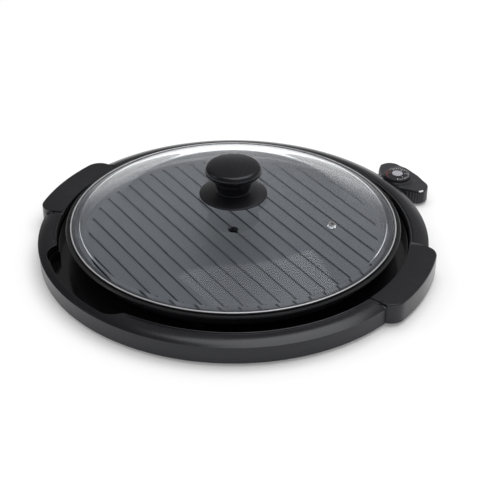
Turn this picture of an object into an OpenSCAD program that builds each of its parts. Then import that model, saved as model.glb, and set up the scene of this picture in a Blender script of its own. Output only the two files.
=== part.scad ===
// Round electric table grill: a ribbed plate with its heating element, a drip tray and
// a plastic base with two grips, a lift-off glass lid and a plug-in heat control.
// Millimetres, +Z up, origin on the table under the middle of the plate, +X to a grip.

/* [Plate] */
// Outside radius of the plate's rim
plate_r = 183; // [175:1:190]
// Thickness of the plate's floor
plate_t = 5; // [4.5:0.1:6]
// Height of the rim above the plate's floor
plate_depth = 13; // [11:0.5:15]
// Width of the rim that surrounds the lid
rim_w = 3.7; // [3:0.1:5]
// How far the ledge that carries the lid lies below the rim
ledge_d = 1; // [0.6:0.1:2]
// Width of the ledge
ledge_w = 5.3; // [4:0.1:7]
// Distance between two drain grooves
groove_pitch = 17.3; // [14:0.1:22]
// Width of a drain groove
groove_w = 3; // [2:0.1:4]
// Depth of a drain groove
groove_d = 1.6; // [1:0.1:2.2]
// Radius of the grooved part of the floor
groove_field_r = 158; // [140:1:161]
// Radius of the drain hole in the middle of the plate
drain_r = 6; // [4:0.5:9]

/* [Heating element] */
// Distance from the plate's edge in to the loop of the element
loop_in = 65; // [58:1:75]
// Radius of the element's tube
tube_r = 4; // [3.2:0.1:4.2]
// Distance from the middle line to each terminal pin
pin_y = 14; // [13:0.5:16]
// Radius of a terminal pin
pin_r = 2.5; // [2:0.1:3]
// Radius of the control's heat probe
probe_r = 3; // [2.5:0.1:3.3]

/* [Base] */
// Width of the open channel between the plate and the housing ring
channel_w = 10; // [8:0.5:13]
// Width of the housing ring, from the channel to the side wall
ring_w = 20; // [18:0.5:24]
// Height of the side wall, from its lower edge to the parting line
wall_h = 20.3; // [19.5:0.1:23]
// Thickness of the plastic walls
wall_t = 2.4; // [2:0.1:2.8]
// Thickness of the base's floor
floor_t = 2.5; // [2:0.1:3.5]
// Height of a rubber foot below the base
foot_h = 3; // [2:0.1:5]
// Radius of a rubber foot
foot_r = 9; // [7:0.5:11]
// Height of the ribs that carry the drip tray
tray_rib_h = 2; // [1:0.1:3]
// Thickness of the drip tray's sheet
tray_t = 1.2; // [0.8:0.1:1.5]
// Height of the drip tray
tray_h = 12; // [9:0.5:14]
// Height of the four legs under the plate
leg_h = 10.3; // [10.3:0.1:12]
// Radius of a leg
leg_r = 9; // [7:0.5:11]
// Distance of the legs from the middle
leg_place_r = 150; // [146:1:154]

/* [Housing ring] */
// Height of the ring's crest above the parting line
ring_rise = 3.9; // [3:0.1:5]
// Width of the flat part of the ring beside the channel
ring_flat_w = 7; // [6:0.1:9]
// How far the ring's edge overhangs the side wall
overhang = 1; // [0.5:0.1:1.6]
// Radius of the bead round the channel
bead_r = 1.3; // [1:0.1:1.6]
// How far the hand scoop cuts into the ring
scoop_d = 13; // [9:0.5:14]
// Half the angle of the scoop's long edge
scoop_half = 17; // [12:1:20]
// Radius that rounds the scoop's ends
scoop_end_r = 20; // [14:1:26]
// Width of the dark line between the ring and the side wall
parting_gap = 0.6; // [0.3:0.1:1]

/* [Grips] */
// How far a grip reaches past the side wall
grip_reach = 11; // [9:0.5:16]
// Half the angle that a grip spans
grip_half = 17; // [13:0.5:18]
// Radius of a grip's outer corners, seen from above
grip_corner_r = 11; // [7:0.5:12]
// Radius that rounds the grip's upper edge
grip_edge_r = 5; // [4:0.1:6]
// Height of the grip's top above the ring's crest
grip_rise = 0.5; // [0.3:0.1:1.5]

/* [Lid] */
// Thickness of the glass
glass_t = 4; // [3:0.5:5]
// Height of the glass dome above the lid's rim
dome_h = 33; // [26:1:40]
// Distance from the rim to where the dome's shoulder starts
shoulder_w = 26.5; // [20:0.5:32]
// How far the dome's wide crown falls from its middle to its shoulder
crown_drop = 16.4; // [14:0.1:19]
// Height of the steel band round the glass
band_h = 3.4; // [3.2:0.1:5]
// Thickness of the steel band
band_t = 0.9; // [0.6:0.1:1.2]
// Gap between the band and the plate's rim
lid_gap = 1.3; // [0.8:0.1:2]
// Distance of the steam vent from the middle
vent_place_r = 115; // [90:1:130]
// Radius of the steam vent's hole
vent_r = 2; // [1.5:0.1:3]

/* [Knob] */
// Radius of the knob's cap
cap_r = 30; // [26:0.5:34]
// Height of the knob
knob_h = 32.5; // [29:0.5:38]
// Radius of the knob's neck where it meets the shield
neck_r = 17.5; // [15:0.5:19]
// Radius of the heat shield under the knob
shield_r = 37; // [32:0.5:42]
// Radius of the screw through the glass
lid_screw_r = 3; // [2.5:0.1:3.5]

/* [Control] */
// Reach of the control's body outward from the ring
body_l = 37; // [34:0.5:42]
// Half the width of the control's body
body_half_w = 38; // [36:0.5:41]
// Half the width of the control's plug
plug_half_w = 21; // [20.5:0.5:23]
// Height of the plug that enters the base
plug_h = 10.6; // [9:0.2:11]
// Height of the body below the pins
body_below = 12.2; // [11.5:0.1:12.6]
// Height of the round part under the dial above the pins
body_above = 9.1; // [8.8:0.1:10.5]
// Wall of the control's covers
cover_t = 2; // [1.6:0.1:2.4]
// Radius of the dial
dial_r = 15.5; // [13:0.5:16.5]
// Height of the dial
dial_h = 4.2; // [3.4:0.1:6]
// Radius of the dial's shaft
dial_shaft_r = 3; // [2.5:0.1:3.5]
// Radius of the opening for the cord
cord_r = 3.5; // [3:0.1:4]

/* [Clearances] */
// Clearance round parts that are only located
slip = 0.2; // [0.15:0.01:0.3]
// Radial clearance of a shaft that turns or slides
run_fit = 0.08; // [0.05:0.01:0.1]
// Gap beside the plug where it passes the base
plug_gap = 1.5; // [1:0.1:2]
// Gap between the drip tray and the ring's skirt
tray_gap = 1.2; // [0.8:0.1:1.6]

/* [Hidden] */
$fn = 96;
// Directions: the control, the scoop opposite, and the steam vent
control_a = 59;
scoop_a = 240;
vent_a = 2;
grip_angles = [0, 180];
pillar_angles = [20, 100, 150, 198, 282, 330];
foot_angles = [45, 135, 225, 315];
leg_angles = [14, 104, 194, 284];

// Radii from the plate outwards
well_r = plate_r + channel_w;
base_r = well_r + ring_w;
edge_r = base_r + overhang;
crest_r = well_r + ring_flat_w;
grip_r = base_r + grip_reach;
lid_r = plate_r - rim_w - lid_gap;
seat_r = plate_r - rim_w;
inner_r = seat_r - ledge_w;

// Heights from the table upwards
z_base = foot_h;
z_floor = z_base + floor_t;
z_tray = z_floor + tray_rib_h;
z_tray_top = z_tray + tray_t;
z_under = z_tray_top + leg_h;
z_plate = z_under + plate_t;
z_rim = z_plate + plate_depth;
z_ledge = z_rim - ledge_d;
z_part = z_base + wall_h;
z_crest = z_part + ring_rise;
z_skirt = z_tray + tray_h - 6;
z_grip = z_crest + grip_rise;
z_pin = z_under - tube_r - 0.3;

// The ring's falling outer face is an arc that starts level at the crest
fall_w = edge_r - crest_r;
fall_r = (fall_w * fall_w + ring_rise * ring_rise) / (2 * ring_rise);

// Bosses that join the ring to the base
pillar_r = 4.5;
pillar_h = 6.5;
pillar_place_r = well_r + 9;
screw_r = 1.7;
screw_head_r = 3.4;
screw_head_h = 2;
screw_sink = 0.6;

// Lid: the dome's crown meets its shoulder on one shared normal
z_glass = z_ledge + band_t + 1.2;
glass_r = lid_r - band_t - slip;
z_dome = z_glass + dome_h;
join_r = glass_r - shoulder_w;
crown_r = (join_r * join_r + crown_drop * crown_drop) / (2 * crown_drop);
join_a = asin(join_r / crown_r);
z_join = z_dome - crown_drop;
end_a = 2 * atan((z_join - z_glass) / shoulder_w) - join_a;
shoulder_r = shoulder_w / (sin(end_a) - sin(join_a));
shoulder_x = join_r - shoulder_r * sin(join_a);
shoulder_z = z_join - shoulder_r * cos(join_a);
gasket_t = 1;
gasket_r = neck_r - 1.5;
washer_r = 10;
washer_t = 1.3;
lid_head_h = 3;
inner_crown_r = crown_r - glass_t;
z_inner = z_dome - crown_r + sqrt(pow(inner_crown_r, 2) - pow(washer_r + 1, 2));
z_shield = z_dome + gasket_t;
shield_t = 3.4;
z_knob = z_shield + shield_t;
z_cap = z_knob + knob_h;

// Control: x runs outward from the middle of the grill, y across
face_x = edge_r + 0.8;
tail_x = face_x + body_l;
nose_x = well_r + 3.2;
dial_x = face_x + dial_r - 1.3;
z_body = z_pin - body_below;
z_body_top = z_pin + body_above;
z_wing = z_pin + 6.5;
z_split = z_wing - cover_t - 0.4;
z_plug = z_pin - plug_h / 2;
element_end_x = plate_r - 4;
bead_l = 5;
bracket_x = plate_r - 8;
bracket_t = 1.5;
tab_in = 16;
tab_out = 12;
pin_tip_x = nose_x + 9;
sleeve_t = 0.8;
sleeve_r = pin_r + run_fit + sleeve_t;
sleeve_l = 16;
loop_r = plate_r - loop_in;
probe_tip_x = loop_r + 26;
probe_boss_r = probe_r + 2.4;
boss_gap = 13;
probe_boss_l = bracket_x - boss_gap - probe_tip_x + 4;
elbow_r = 16;
elbow_x = sqrt(pow(loop_r + elbow_r, 2) - pow(pin_y + elbow_r, 2));
elbow_a = atan2(pin_y + elbow_r, elbow_x);
hole_d = plate_t - groove_d - 0.8;
clip_angles = [150, 250, 350];
clip_t = 1;
clip_w = 10;
clip_screw_y = tube_r + 6.5;
block_l = 20;
block_half_w = 17;
block_x = nose_x + sleeve_l + 3;
z_block = z_body + cover_t;
block_h = z_pin + 1.5 - z_block;
shaft_in = 3;
body_corner = 13;
near_half_w = 13.5;
near_slant = 13;
turret_r = dial_r + 4;
grip_rib_w = 1.6;
grip_rib_n = 6;
grip_rib_pitch = 2.2;
window_half_w = plug_half_w + plug_gap;
control_screws_xy = [[tail_x - 8, body_half_w - 12], [tail_x - 8, 12 - body_half_w],
                     [face_x + 13.5, block_half_w + 4.4],
                     [face_x + 13.5, -block_half_w - 4.4]];
case_boss_r = 3.2;
case_screw_r = 1.3;
gland_y = 0;
z_gland = z_body + cover_t + cord_r + 2 + slip;
lens_l = 6;
lens_h = 1.8;
lens_in = 4;
lens_x = tail_x - body_corner - lens_l - 0.6;
lamp_r = 1.6;
lamp_l = 6;

// Places its children on a circle at the given directions
module around(angles, r) {
  for (a = angles) rotate(a) translate([r, 0, 0]) children();
}

// Turns its children so that x points at the control
module at_control() {
  rotate(control_a) children();
}

// A triangle from the middle that spans a direction on both sides, moved in by g
module wedge(half, g = 0) {
  x0 = g / sin(half);
  reach = 2 * base_r;
  polygon([[x0, 0], [x0 + reach * cos(half), -reach * sin(half)],
           [x0 + reach * cos(half), reach * sin(half)]]);
}

// Outline of the opening in the ring with its scoop, grown by g
module well_outline(g) {
  circle(r = well_r + g);
  rotate(scoop_a) {
    intersection() {
      circle(r = well_r + scoop_d + g);
      wedge(scoop_half);
    }
    for (s = [-1, 1]) {
      rotate(s * scoop_half) translate([well_r + scoop_d - scoop_end_r, 0]) {
        circle(r = scoop_end_r + g);
      }
    }
  }
}

// Half section below the ring's top face, down to height z0
module ring_section(z0) {
  r_in = well_r - 5;
  lead = 2;
  z_flat = z_crest - fall_r + sqrt(fall_r * fall_r - lead * lead);
  translate([r_in, z0]) square([crest_r - r_in, z_flat - z0]);
  intersection() {
    translate([crest_r, z_crest - fall_r]) circle(r = fall_r);
    translate([crest_r - lead - 1, z0]) square([edge_r - crest_r + lead + 1, z_crest - z0]);
  }
}

// Half section of the space under the ring's top
module ring_hollow() {
  r_in = well_r - 6;
  z1 = z_crest - wall_t;
  r_end = crest_r + fall_w * 0.6;
  polygon([[r_in, z_part - 1], [r_in, z1], [crest_r + 1, z1], [r_end, z_part],
           [r_end, z_part - 1]]);
}

// Half section of a grip, moved in by g
module grip_section(g) {
  e = grip_edge_r - g;
  r1 = grip_r - g;
  z0 = z_base + 1 - g;
  z1 = z_grip - g;
  r_in = well_r - 5;
  translate([r_in, z0]) square([r1 - e - r_in, z1 - z0]);
  translate([r_in, z0]) square([r1 - r_in, z1 - e - z0]);
  translate([r1 - e, z1 - e]) circle(r = e);
}

// Outline of a grip seen from above, open outward, with rounded outer corners, moved in by g
module grip_outline(g) {
  c = grip_corner_r - g;
  d = grip_r - g - c + 0.15;
  turn = grip_half - asin((c + g) / d);
  x0 = g / sin(grip_half);
  side = [for (t = [grip_half + 90 : -7.5 : turn - 6])
    [d * cos(turn) + c * cos(t), d * sin(turn) + c * sin(t)]];
  far = (grip_r + 20) / cos(turn);
  out = [far * cos(turn - 2), far * sin(turn - 2)];
  n = len(side) - 1;
  polygon(concat([[x0, 0]], side, [out, [out[0], -out[1]]],
                 [for (i = [n : -1 : 0]) [side[i][0], -side[i][1]]]));
}

// Solid of a grip, moved in by g
module grip_body(g) {
  intersection() {
    rotate_extrude() grip_section(g);
    translate([0, 0, z_base - 5]) linear_extrude(z_grip) grip_outline(g);
  }
}

// The space that the control's plug needs where it passes a wall
module plug_window(x0, x1, z_top) {
  z0 = z_plug - plug_gap;
  at_control() translate([x0, -window_half_w, z0]) {
    cube([x1 - x0, 2 * window_half_w, z_top - z0]);
  }
}

// A pan-head screw: head below z0, shank above
module screw(head_r, head_h, shank_r, shank_l) {
  translate([0, 0, -head_h]) cylinder(r = head_r, h = head_h);
  translate([0, 0, -0.01]) cylinder(r = shank_r, h = shank_l + 0.01);
}

// A cross recess for a screw's head, cut from below
module cross_recess(size, depth) {
  for (a = [0, 90]) {
    rotate(a) translate([-size / 2, -size / 8, -0.01]) cube([size, size / 4, depth]);
  }
}

module base_pan() {
  rib_t = 1.6;
  vent_w = 4;
  vent_l = 24;
  vent_n = 24;
  color("#26262a") difference() {
    union() {
      rotate_extrude() {
        difference() {
          polygon([[0, z_base], [base_r - 1.2, z_base], [base_r, z_base + 1.2],
                   [base_r, z_part - parting_gap], [0, z_part - parting_gap]]);
          translate([0, z_floor]) square([base_r - wall_t, wall_h]);
        }
      }
      for (r = [leg_place_r - 70, well_r - 14]) {
        translate([0, 0, z_floor - 0.1]) rotate_extrude() {
          translate([r, 0]) square([rib_t, tray_rib_h + 0.1]);
        }
      }
      around([0 : 45 : 315], leg_place_r - 68) {
        translate([0, -rib_t / 2, z_floor - 0.1]) {
          cube([well_r - leg_place_r + 54, rib_t, tray_rib_h + 0.1]);
        }
      }
      around(pillar_angles, pillar_place_r) {
        translate([0, 0, z_floor - 0.1]) cylinder(r = pillar_r, h = pillar_h + 0.1);
      }
    }
    around(pillar_angles, pillar_place_r) {
      translate([0, 0, z_base - 1]) cylinder(r = screw_r + slip, h = floor_t + pillar_h + 2);
      translate([0, 0, z_base - 1]) {
        cylinder(r = screw_head_r + slip, h = screw_head_h + screw_sink + 1);
      }
    }
    around(foot_angles, well_r - 4) {
      translate([0, 0, z_base - 1]) cylinder(r = foot_r / 3, h = floor_t + 2);
    }
    around([for (i = [0 : vent_n - 1]) (i + 0.5) * 360 / vent_n], leg_place_r - 18) {
      translate([0, -vent_w / 2, z_base - 1]) cube([vent_l, vent_w, floor_t + 2]);
    }
    plug_window(well_r, edge_r + 5, z_part + 1);
  }
}

module rubber_feet() {
  stem_r = foot_r / 3 - 0.05;
  color("#1b1b1d") around(foot_angles, well_r - 4) {
    rotate_extrude() polygon([[0, 0], [foot_r - 0.8, 0], [foot_r, 0.8],
      [foot_r - 0.6, foot_h], [stem_r, foot_h], [stem_r, foot_h + floor_t],
      [stem_r + 0.7, foot_h + floor_t], [stem_r - 0.6, foot_h + floor_t + 1.6],
      [0, foot_h + floor_t + 1.6]]);
  }
}

module housing_ring() {
  bead_arcs = [[grip_half + 0.6, 180 - grip_half - 0.6],
               [180 + grip_half + 0.6, scoop_a - scoop_half - 8],
               [scoop_a + scoop_half + 8, 360 - grip_half - 0.6]];
  key_t = 2;
  key_r = base_r - wall_t - slip - key_t;
  rib_t = 1.8;
  color("#202024") difference() {
    union() {
      difference() {
        union() {
          rotate_extrude() difference() {
            ring_section(z_part);
            ring_hollow();
          }
          translate([0, 0, z_skirt]) linear_extrude(z_crest - 1 - z_skirt) {
            well_outline(wall_t);
          }
          rotate_extrude() {
            translate([key_r, z_part - 5]) square([key_t, 5 + ring_rise * 0.45]);
          }
          for (a = grip_angles) rotate(a) grip_shell(rib_t);
        }
        translate([0, 0, z_skirt - 2]) linear_extrude(z_grip) well_outline(0);
      }
      for (span = bead_arcs) {
        rotate(span[0]) rotate_extrude(angle = span[1] - span[0]) {
          translate([well_r + bead_r + 0.2, z_crest - bead_r * 0.5]) circle(r = bead_r);
        }
      }
      around(pillar_angles, pillar_place_r) {
        translate([0, 0, z_floor + pillar_h]) {
          cylinder(r = pillar_r, h = z_crest - 1.5 - z_floor - pillar_h);
        }
      }
    }
    for (span = bead_arcs) {
      rotate(span[0]) rotate_extrude(angle = span[1] - span[0]) {
        translate([well_r + 2 * bead_r + 0.8, z_crest]) circle(r = 0.8);
      }
    }
    around(pillar_angles, pillar_place_r) {
      translate([0, 0, z_floor]) cylinder(r = screw_r, h = z_crest - 4 - z_floor);
    }
    plug_window(well_r - 4, edge_r - wall_t - 0.5, z_pin + plug_h / 2 + plug_gap);
  }
}

// A grip: a shell that is open below, stiffened by three ribs
module grip_shell(rib_t) {
  difference() {
    grip_body(0);
    difference() {
      grip_body(wall_t);
      translate([0, 0, z_base - 6]) cylinder(r = base_r + 0.5, h = z_grip);
    }
    translate([0, 0, z_base - 6]) {
      cylinder(r = base_r + 0.5, h = z_grip - wall_t + 6 - z_base);
    }
  }
  rib_l = grip_reach - 1.5;
  rib_h = 11;
  for (a = [-8, 0, 8]) {
    rotate(a) translate([base_r + 0.6, -rib_t / 2, z_grip - wall_t - rib_h]) {
      cube([rib_l, rib_t, rib_h + 0.5]);
    }
  }
}

module housing_screws() {
  shank_l = floor_t + pillar_h + 5;
  color("#b9bbbf") around(pillar_angles, pillar_place_r) {
    translate([0, 0, z_base + screw_head_h + screw_sink]) difference() {
      screw(screw_head_r, screw_head_h, screw_r, shank_l);
      translate([0, 0, -screw_head_h]) cross_recess(screw_head_r * 1.3, 1);
    }
  }
}

module drip_tray() {
  collar_h = 1.5;
  dam_h = 2.5;
  color("#131315") difference() {
    union() {
      translate([0, 0, z_tray]) linear_extrude(tray_t) well_outline(-tray_gap);
      translate([0, 0, z_tray]) linear_extrude(tray_h) difference() {
        well_outline(-tray_gap);
        well_outline(-tray_gap - tray_t);
      }
      around(leg_angles, leg_place_r) {
        translate([0, 0, z_tray]) cylinder(r = leg_r + slip + 2, h = tray_t + collar_h);
      }
    }
    around(leg_angles, leg_place_r) {
      translate([0, 0, z_tray_top]) cylinder(r = leg_r + slip, h = collar_h + 1);
    }
    at_control() translate([well_r - 40, -window_half_w - 2, z_tray_top + dam_h]) {
      cube([60, 2 * window_half_w + 4, tray_h]);
    }
  }
}

// Points of an arc about x and y, without its first one
function arc_points(x, y, r, a0, a1, n) =
  [for (i = [1 : n]) [x + r * cos(a0 + (a1 - a0) * i / n),
                      y + r * sin(a0 + (a1 - a0) * i / n)]];

// Middle line of the element: a straight leg, an elbow, the loop, and back the same way
function element_line() = concat(
  [[element_end_x, -pin_y], [elbow_x, -pin_y]],
  arc_points(elbow_x, -pin_y - elbow_r, elbow_r, 90, 180 - elbow_a, 6),
  arc_points(0, 0, loop_r, -elbow_a, elbow_a - 360, 64),
  arc_points(elbow_x, pin_y + elbow_r, elbow_r, 180 + elbow_a, 270, 6),
  [[element_end_x, pin_y]]);

// A round tube along a level line
module tube_along(line, r, sides) {
  n = len(line);
  aims = [for (i = [0 : n - 1]) line[min(i + 1, n - 1)] - line[max(i - 1, 0)]];
  points = [for (i = [0 : n - 1], j = [0 : sides - 1])
    let (d = aims[i] / norm(aims[i]), t = j * 360 / sides)
    [line[i][0] + d[1] * r * cos(t), line[i][1] - d[0] * r * cos(t), r * sin(t)]];
  walls = [for (i = [0 : n - 2], j = [0 : sides - 1])
    let (a = i * sides + j, b = i * sides + (j + 1) % sides)
    each [[a, a + sides, b + sides], [a, b + sides, b]]];
  ends = [[for (j = [0 : sides - 1]) j], [for (j = [1 : sides]) n * sides - j]];
  polyhedron(points, concat(walls, ends));
}

module grill_plate() {
  slope_w = 7;
  heel = 3;
  grooves = floor(groove_field_r / groove_pitch);
  color("#2a2b2e") difference() {
    union() {
      difference() {
        rotate_extrude() polygon([[0, z_under], [inner_r - slope_w - 1 + heel, z_under],
          [seat_r - 1, z_rim - 6], [plate_r - 0.4, z_rim - 2.8], [plate_r, z_rim - 2.2],
          [plate_r, z_rim - 0.7], [plate_r - 0.7, z_rim], [seat_r + 0.3, z_rim],
          [seat_r, z_rim - 0.3], [seat_r, z_ledge], [inner_r, z_ledge],
          [inner_r - 1.2, z_ledge - 1], [inner_r - slope_w, z_plate + 2],
          [inner_r - slope_w - 3, z_plate], [0, z_plate]]);
        intersection() {
          at_control() for (i = [-grooves : grooves]) {
            translate([i * groove_pitch, 0, z_plate]) rotate([90, 0, 0]) {
              linear_extrude(2 * plate_r, center = true) {
                polygon([[-groove_w / 2 - 0.4, 0.01], [-groove_w / 2 + 0.4, -groove_d],
                         [groove_w / 2 - 0.4, -groove_d], [groove_w / 2 + 0.4, 0.01]]);
              }
            }
          }
          translate([0, 0, z_under]) cylinder(r = groove_field_r, h = plate_t + 1);
        }
      }
      at_control() translate([probe_tip_x - 4, 0, z_pin]) rotate([0, 90, 0]) {
        cylinder(r = probe_boss_r, h = probe_boss_l);
      }
      at_control() translate([probe_tip_x - 4, -probe_boss_r, z_pin]) {
        cube([probe_boss_l, 2 * probe_boss_r, z_under - z_pin + 0.1]);
      }
    }
    at_control() translate([probe_tip_x, 0, z_pin]) rotate([0, 90, 0]) {
      cylinder(r = probe_r + run_fit, h = 60);
    }
    translate([0, 0, z_under - 1]) cylinder(r = drain_r, h = plate_t + 2);
    around(leg_angles, leg_place_r) {
      translate([0, 0, z_under - 1]) cylinder(r = screw_r, h = hole_d + 1);
    }
    for (s = [-1, 1]) {
      around(clip_angles, loop_r + s * clip_screw_y) {
        translate([0, 0, z_under - 1]) cylinder(r = screw_r, h = hole_d + 1);
      }
      at_control() translate([bracket_x - tab_in, s * (pin_y + tab_out), z_under - 1]) {
        cylinder(r = screw_r, h = hole_d + 1);
      }
    }
  }
}

module heating_element() {
  color("#3c3d42") at_control() translate([0, 0, z_pin]) {
    tube_along(element_line(), tube_r, 12);
  }
}

// Bent straps that hold the element against the plate
module element_clips() {
  half_l = clip_screw_y + 4;
  hold_r = tube_r + slip;
  color("#a9abaf") around(clip_angles, loop_r) {
    difference() {
      translate([0, clip_w / 2, 0]) rotate([90, 0, 0]) linear_extrude(clip_w) difference() {
        union() {
          translate([-half_l, z_under - clip_t]) square([2 * half_l, clip_t]);
          translate([0, z_pin]) circle(r = hold_r + clip_t);
          translate([-hold_r - clip_t, z_pin]) {
            square([2 * (hold_r + clip_t), z_under - z_pin]);
          }
        }
        translate([0, z_pin]) circle(r = hold_r);
        translate([-hold_r, z_pin]) square([2 * hold_r, z_under]);
        translate([-half_l, z_under]) square([2 * half_l, 20]);
      }
      for (s = [-1, 1]) translate([s * clip_screw_y, 0, z_under - 5]) {
        cylinder(r = screw_r + slip, h = 6);
      }
    }
  }
}

module clip_screws() {
  color("#b9bbbf") for (s = [-1, 1]) around(clip_angles, loop_r + s * clip_screw_y) {
    translate([0, 0, z_under - clip_t]) difference() {
      screw(2.8, 1.6, screw_r - 0.02, clip_t + hole_d - 0.2);
      translate([0, 0, -1.6]) cross_recess(3.4, 0.8);
    }
  }
}

module terminal_insulators() {
  color("#e6e2d8") at_control() for (s = [-1, 1]) {
    translate([element_end_x, s * pin_y, z_pin]) rotate([0, 90, 0]) difference() {
      cylinder(r = tube_r, h = bead_l);
      translate([0, 0, -1]) cylinder(r = pin_r + 0.05, h = bead_l + 2);
    }
  }
}

module terminal_pins() {
  color("#c9cacc") at_control() for (s = [-1, 1]) {
    translate([element_end_x, s * pin_y, z_pin]) rotate([0, 90, 0]) {
      cylinder(r = pin_r, h = pin_tip_x - element_end_x - pin_r);
      translate([0, 0, pin_tip_x - element_end_x - pin_r]) sphere(r = pin_r);
    }
  }
}

// Steel angle under the plate that steadies the element's ends and guides the probe
module terminal_bracket() {
  half_w = pin_y + tab_out + 6;
  tab_l = tab_in + 6;
  z0 = z_pin - tube_r - 1;
  color("#a9abaf") at_control() difference() {
    union() {
      translate([bracket_x, -half_w, z0]) cube([bracket_t, 2 * half_w, z_under - z0]);
      for (s = [-1, 1]) {
        translate([bracket_x - tab_l, s * (pin_y + tab_out) - 6, z_under - bracket_t]) {
          cube([tab_l + 0.1, 12, bracket_t]);
        }
      }
    }
    for (s = [-1, 1]) {
      translate([bracket_x - 1, s * pin_y, z_pin]) rotate([0, 90, 0]) {
        cylinder(r = tube_r + slip, h = 4);
      }
      translate([bracket_x - tab_in, s * (pin_y + tab_out), z_under - 5]) {
        cylinder(r = screw_r + slip, h = 6);
      }
    }
    translate([bracket_x - 1, 0, z_pin]) rotate([0, 90, 0]) {
      cylinder(r = probe_r + 0.6, h = 4);
    }
  }
}

module bracket_screws() {
  color("#b9bbbf") at_control() for (s = [-1, 1]) {
    translate([bracket_x - tab_in, s * (pin_y + tab_out), z_under - bracket_t]) difference() {
      screw(3, 1.8, screw_r - 0.02, bracket_t + hole_d - 0.2);
      translate([0, 0, -1.8]) cross_recess(3.6, 0.9);
    }
  }
}

module plate_legs() {
  color("#222224") around(leg_angles, leg_place_r) {
    translate([0, 0, z_tray_top]) difference() {
      cylinder(r = leg_r, h = leg_h);
      translate([0, 0, -1]) cylinder(r = screw_r + slip, h = leg_h + 2);
      translate([0, 0, -1]) cylinder(r = screw_head_r + slip, h = 5);
    }
  }
}

module plate_leg_screws() {
  color("#b9bbbf") around(leg_angles, leg_place_r) {
    translate([0, 0, z_tray_top + 4]) difference() {
      screw(screw_head_r, screw_head_h, screw_r - 0.02, leg_h - 4 + hole_d - 0.2);
      translate([0, 0, -screw_head_h]) cross_recess(screw_head_r * 1.3, 1);
    }
  }
}

// Half section below the dome's outer face, moved in by g
module dome_section(g) {
  far = 2 * shoulder_r;
  intersection() {
    translate([0, z_dome - crown_r]) circle(r = crown_r - g, $fn = 720);
    polygon([[0, z_glass - 40], [shoulder_x, shoulder_z],
             [shoulder_x + far * sin(join_a), shoulder_z + far * cos(join_a)],
             [0, z_dome + far]]);
  }
  intersection() {
    translate([shoulder_x, shoulder_z]) circle(r = shoulder_r - g, $fn = 180);
    polygon([[0, z_glass - 40], [shoulder_x, shoulder_z],
             [shoulder_x + far * sin(join_a), shoulder_z + far * cos(join_a)],
             [far + glass_r, z_dome], [far + glass_r, z_glass - 40]]);
  }
}

// The part of the dome's section beside the axis and above height z0
module dome_half(g, z0) {
  intersection() {
    dome_section(g);
    translate([0, z0]) square([lid_r + 10, z_dome - z0 + 10]);
  }
}

// Turns its children to stand on the glass at the steam vent
module at_vent() {
  lean = asin(vent_place_r / crown_r);
  rotate(vent_a) translate([0, 0, z_dome - crown_r]) rotate([0, lean, 0]) {
    translate([0, 0, crown_r]) children();
  }
}

module lid_glass() {
  color([0.75, 0.8, 0.85, 0.5]) difference() {
    rotate_extrude() difference() {
      dome_half(0, z_glass);
      dome_half(glass_t, z_glass - 1);
    }
    translate([0, 0, z_dome - 20]) cylinder(r = lid_screw_r + 0.5, h = 30);
    at_vent() translate([0, 0, -20]) cylinder(r = vent_r + 1.2, h = 30);
  }
}

module lid_rim_band() {
  z0 = z_ledge;
  z1 = z_ledge + band_h;
  r_in = glass_r - glass_t - 2;
  color("#c4c5c8") rotate_extrude() difference() {
    polygon([[r_in, z0], [lid_r - 0.5, z0], [lid_r, z0 + 0.5], [lid_r, z1 - 0.6],
             [lid_r - 0.5, z1], [glass_r - 1.6, z1], [glass_r - 1.6, z1 - band_t],
             [glass_r, z_glass], [r_in + band_t, z_glass], [r_in, z_glass]]);
    dome_half(-0.03, z_glass);
  }
}

module steam_vent_eyelet() {
  flange_r = vent_r + 2.5;
  color("#d2d3d6") at_vent() difference() {
    union() {
      cylinder(r1 = flange_r, r2 = flange_r - 0.5, h = 0.9);
      translate([0, 0, -glass_t - 0.9]) cylinder(r = vent_r + 1, h = glass_t + 1.1);
      translate([0, 0, -glass_t - 0.9]) cylinder(r = flange_r, h = 0.8);
    }
    translate([0, 0, -glass_t - 2]) cylinder(r = vent_r, h = glass_t + 4);
  }
}

module knob_outer_gasket() {
  color("#4a4a4e") translate([0, 0, z_dome]) difference() {
    cylinder(r = gasket_r, h = gasket_t);
    translate([0, 0, -1]) cylinder(r = lid_screw_r + 0.5, h = gasket_t + 2);
  }
}

module knob_heat_shield() {
  lip = 0.9;
  color("#17171a") difference() {
    rotate_extrude() polygon([[0, z_shield], [gasket_r + 0.3, z_shield],
      [gasket_r + 1, z_dome + 0.4], [shield_r - 1, z_dome - 0.3], [shield_r, z_dome],
      [shield_r, z_dome + lip], [shield_r - 0.8, z_dome + lip + 0.5],
      [shield_r - 9, z_shield + shield_t - 1.2], [neck_r + 1, z_knob], [0, z_knob]]);
    translate([0, 0, z_shield - 1]) cylinder(r = lid_screw_r + 0.1, h = shield_t + 2);
  }
}

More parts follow.
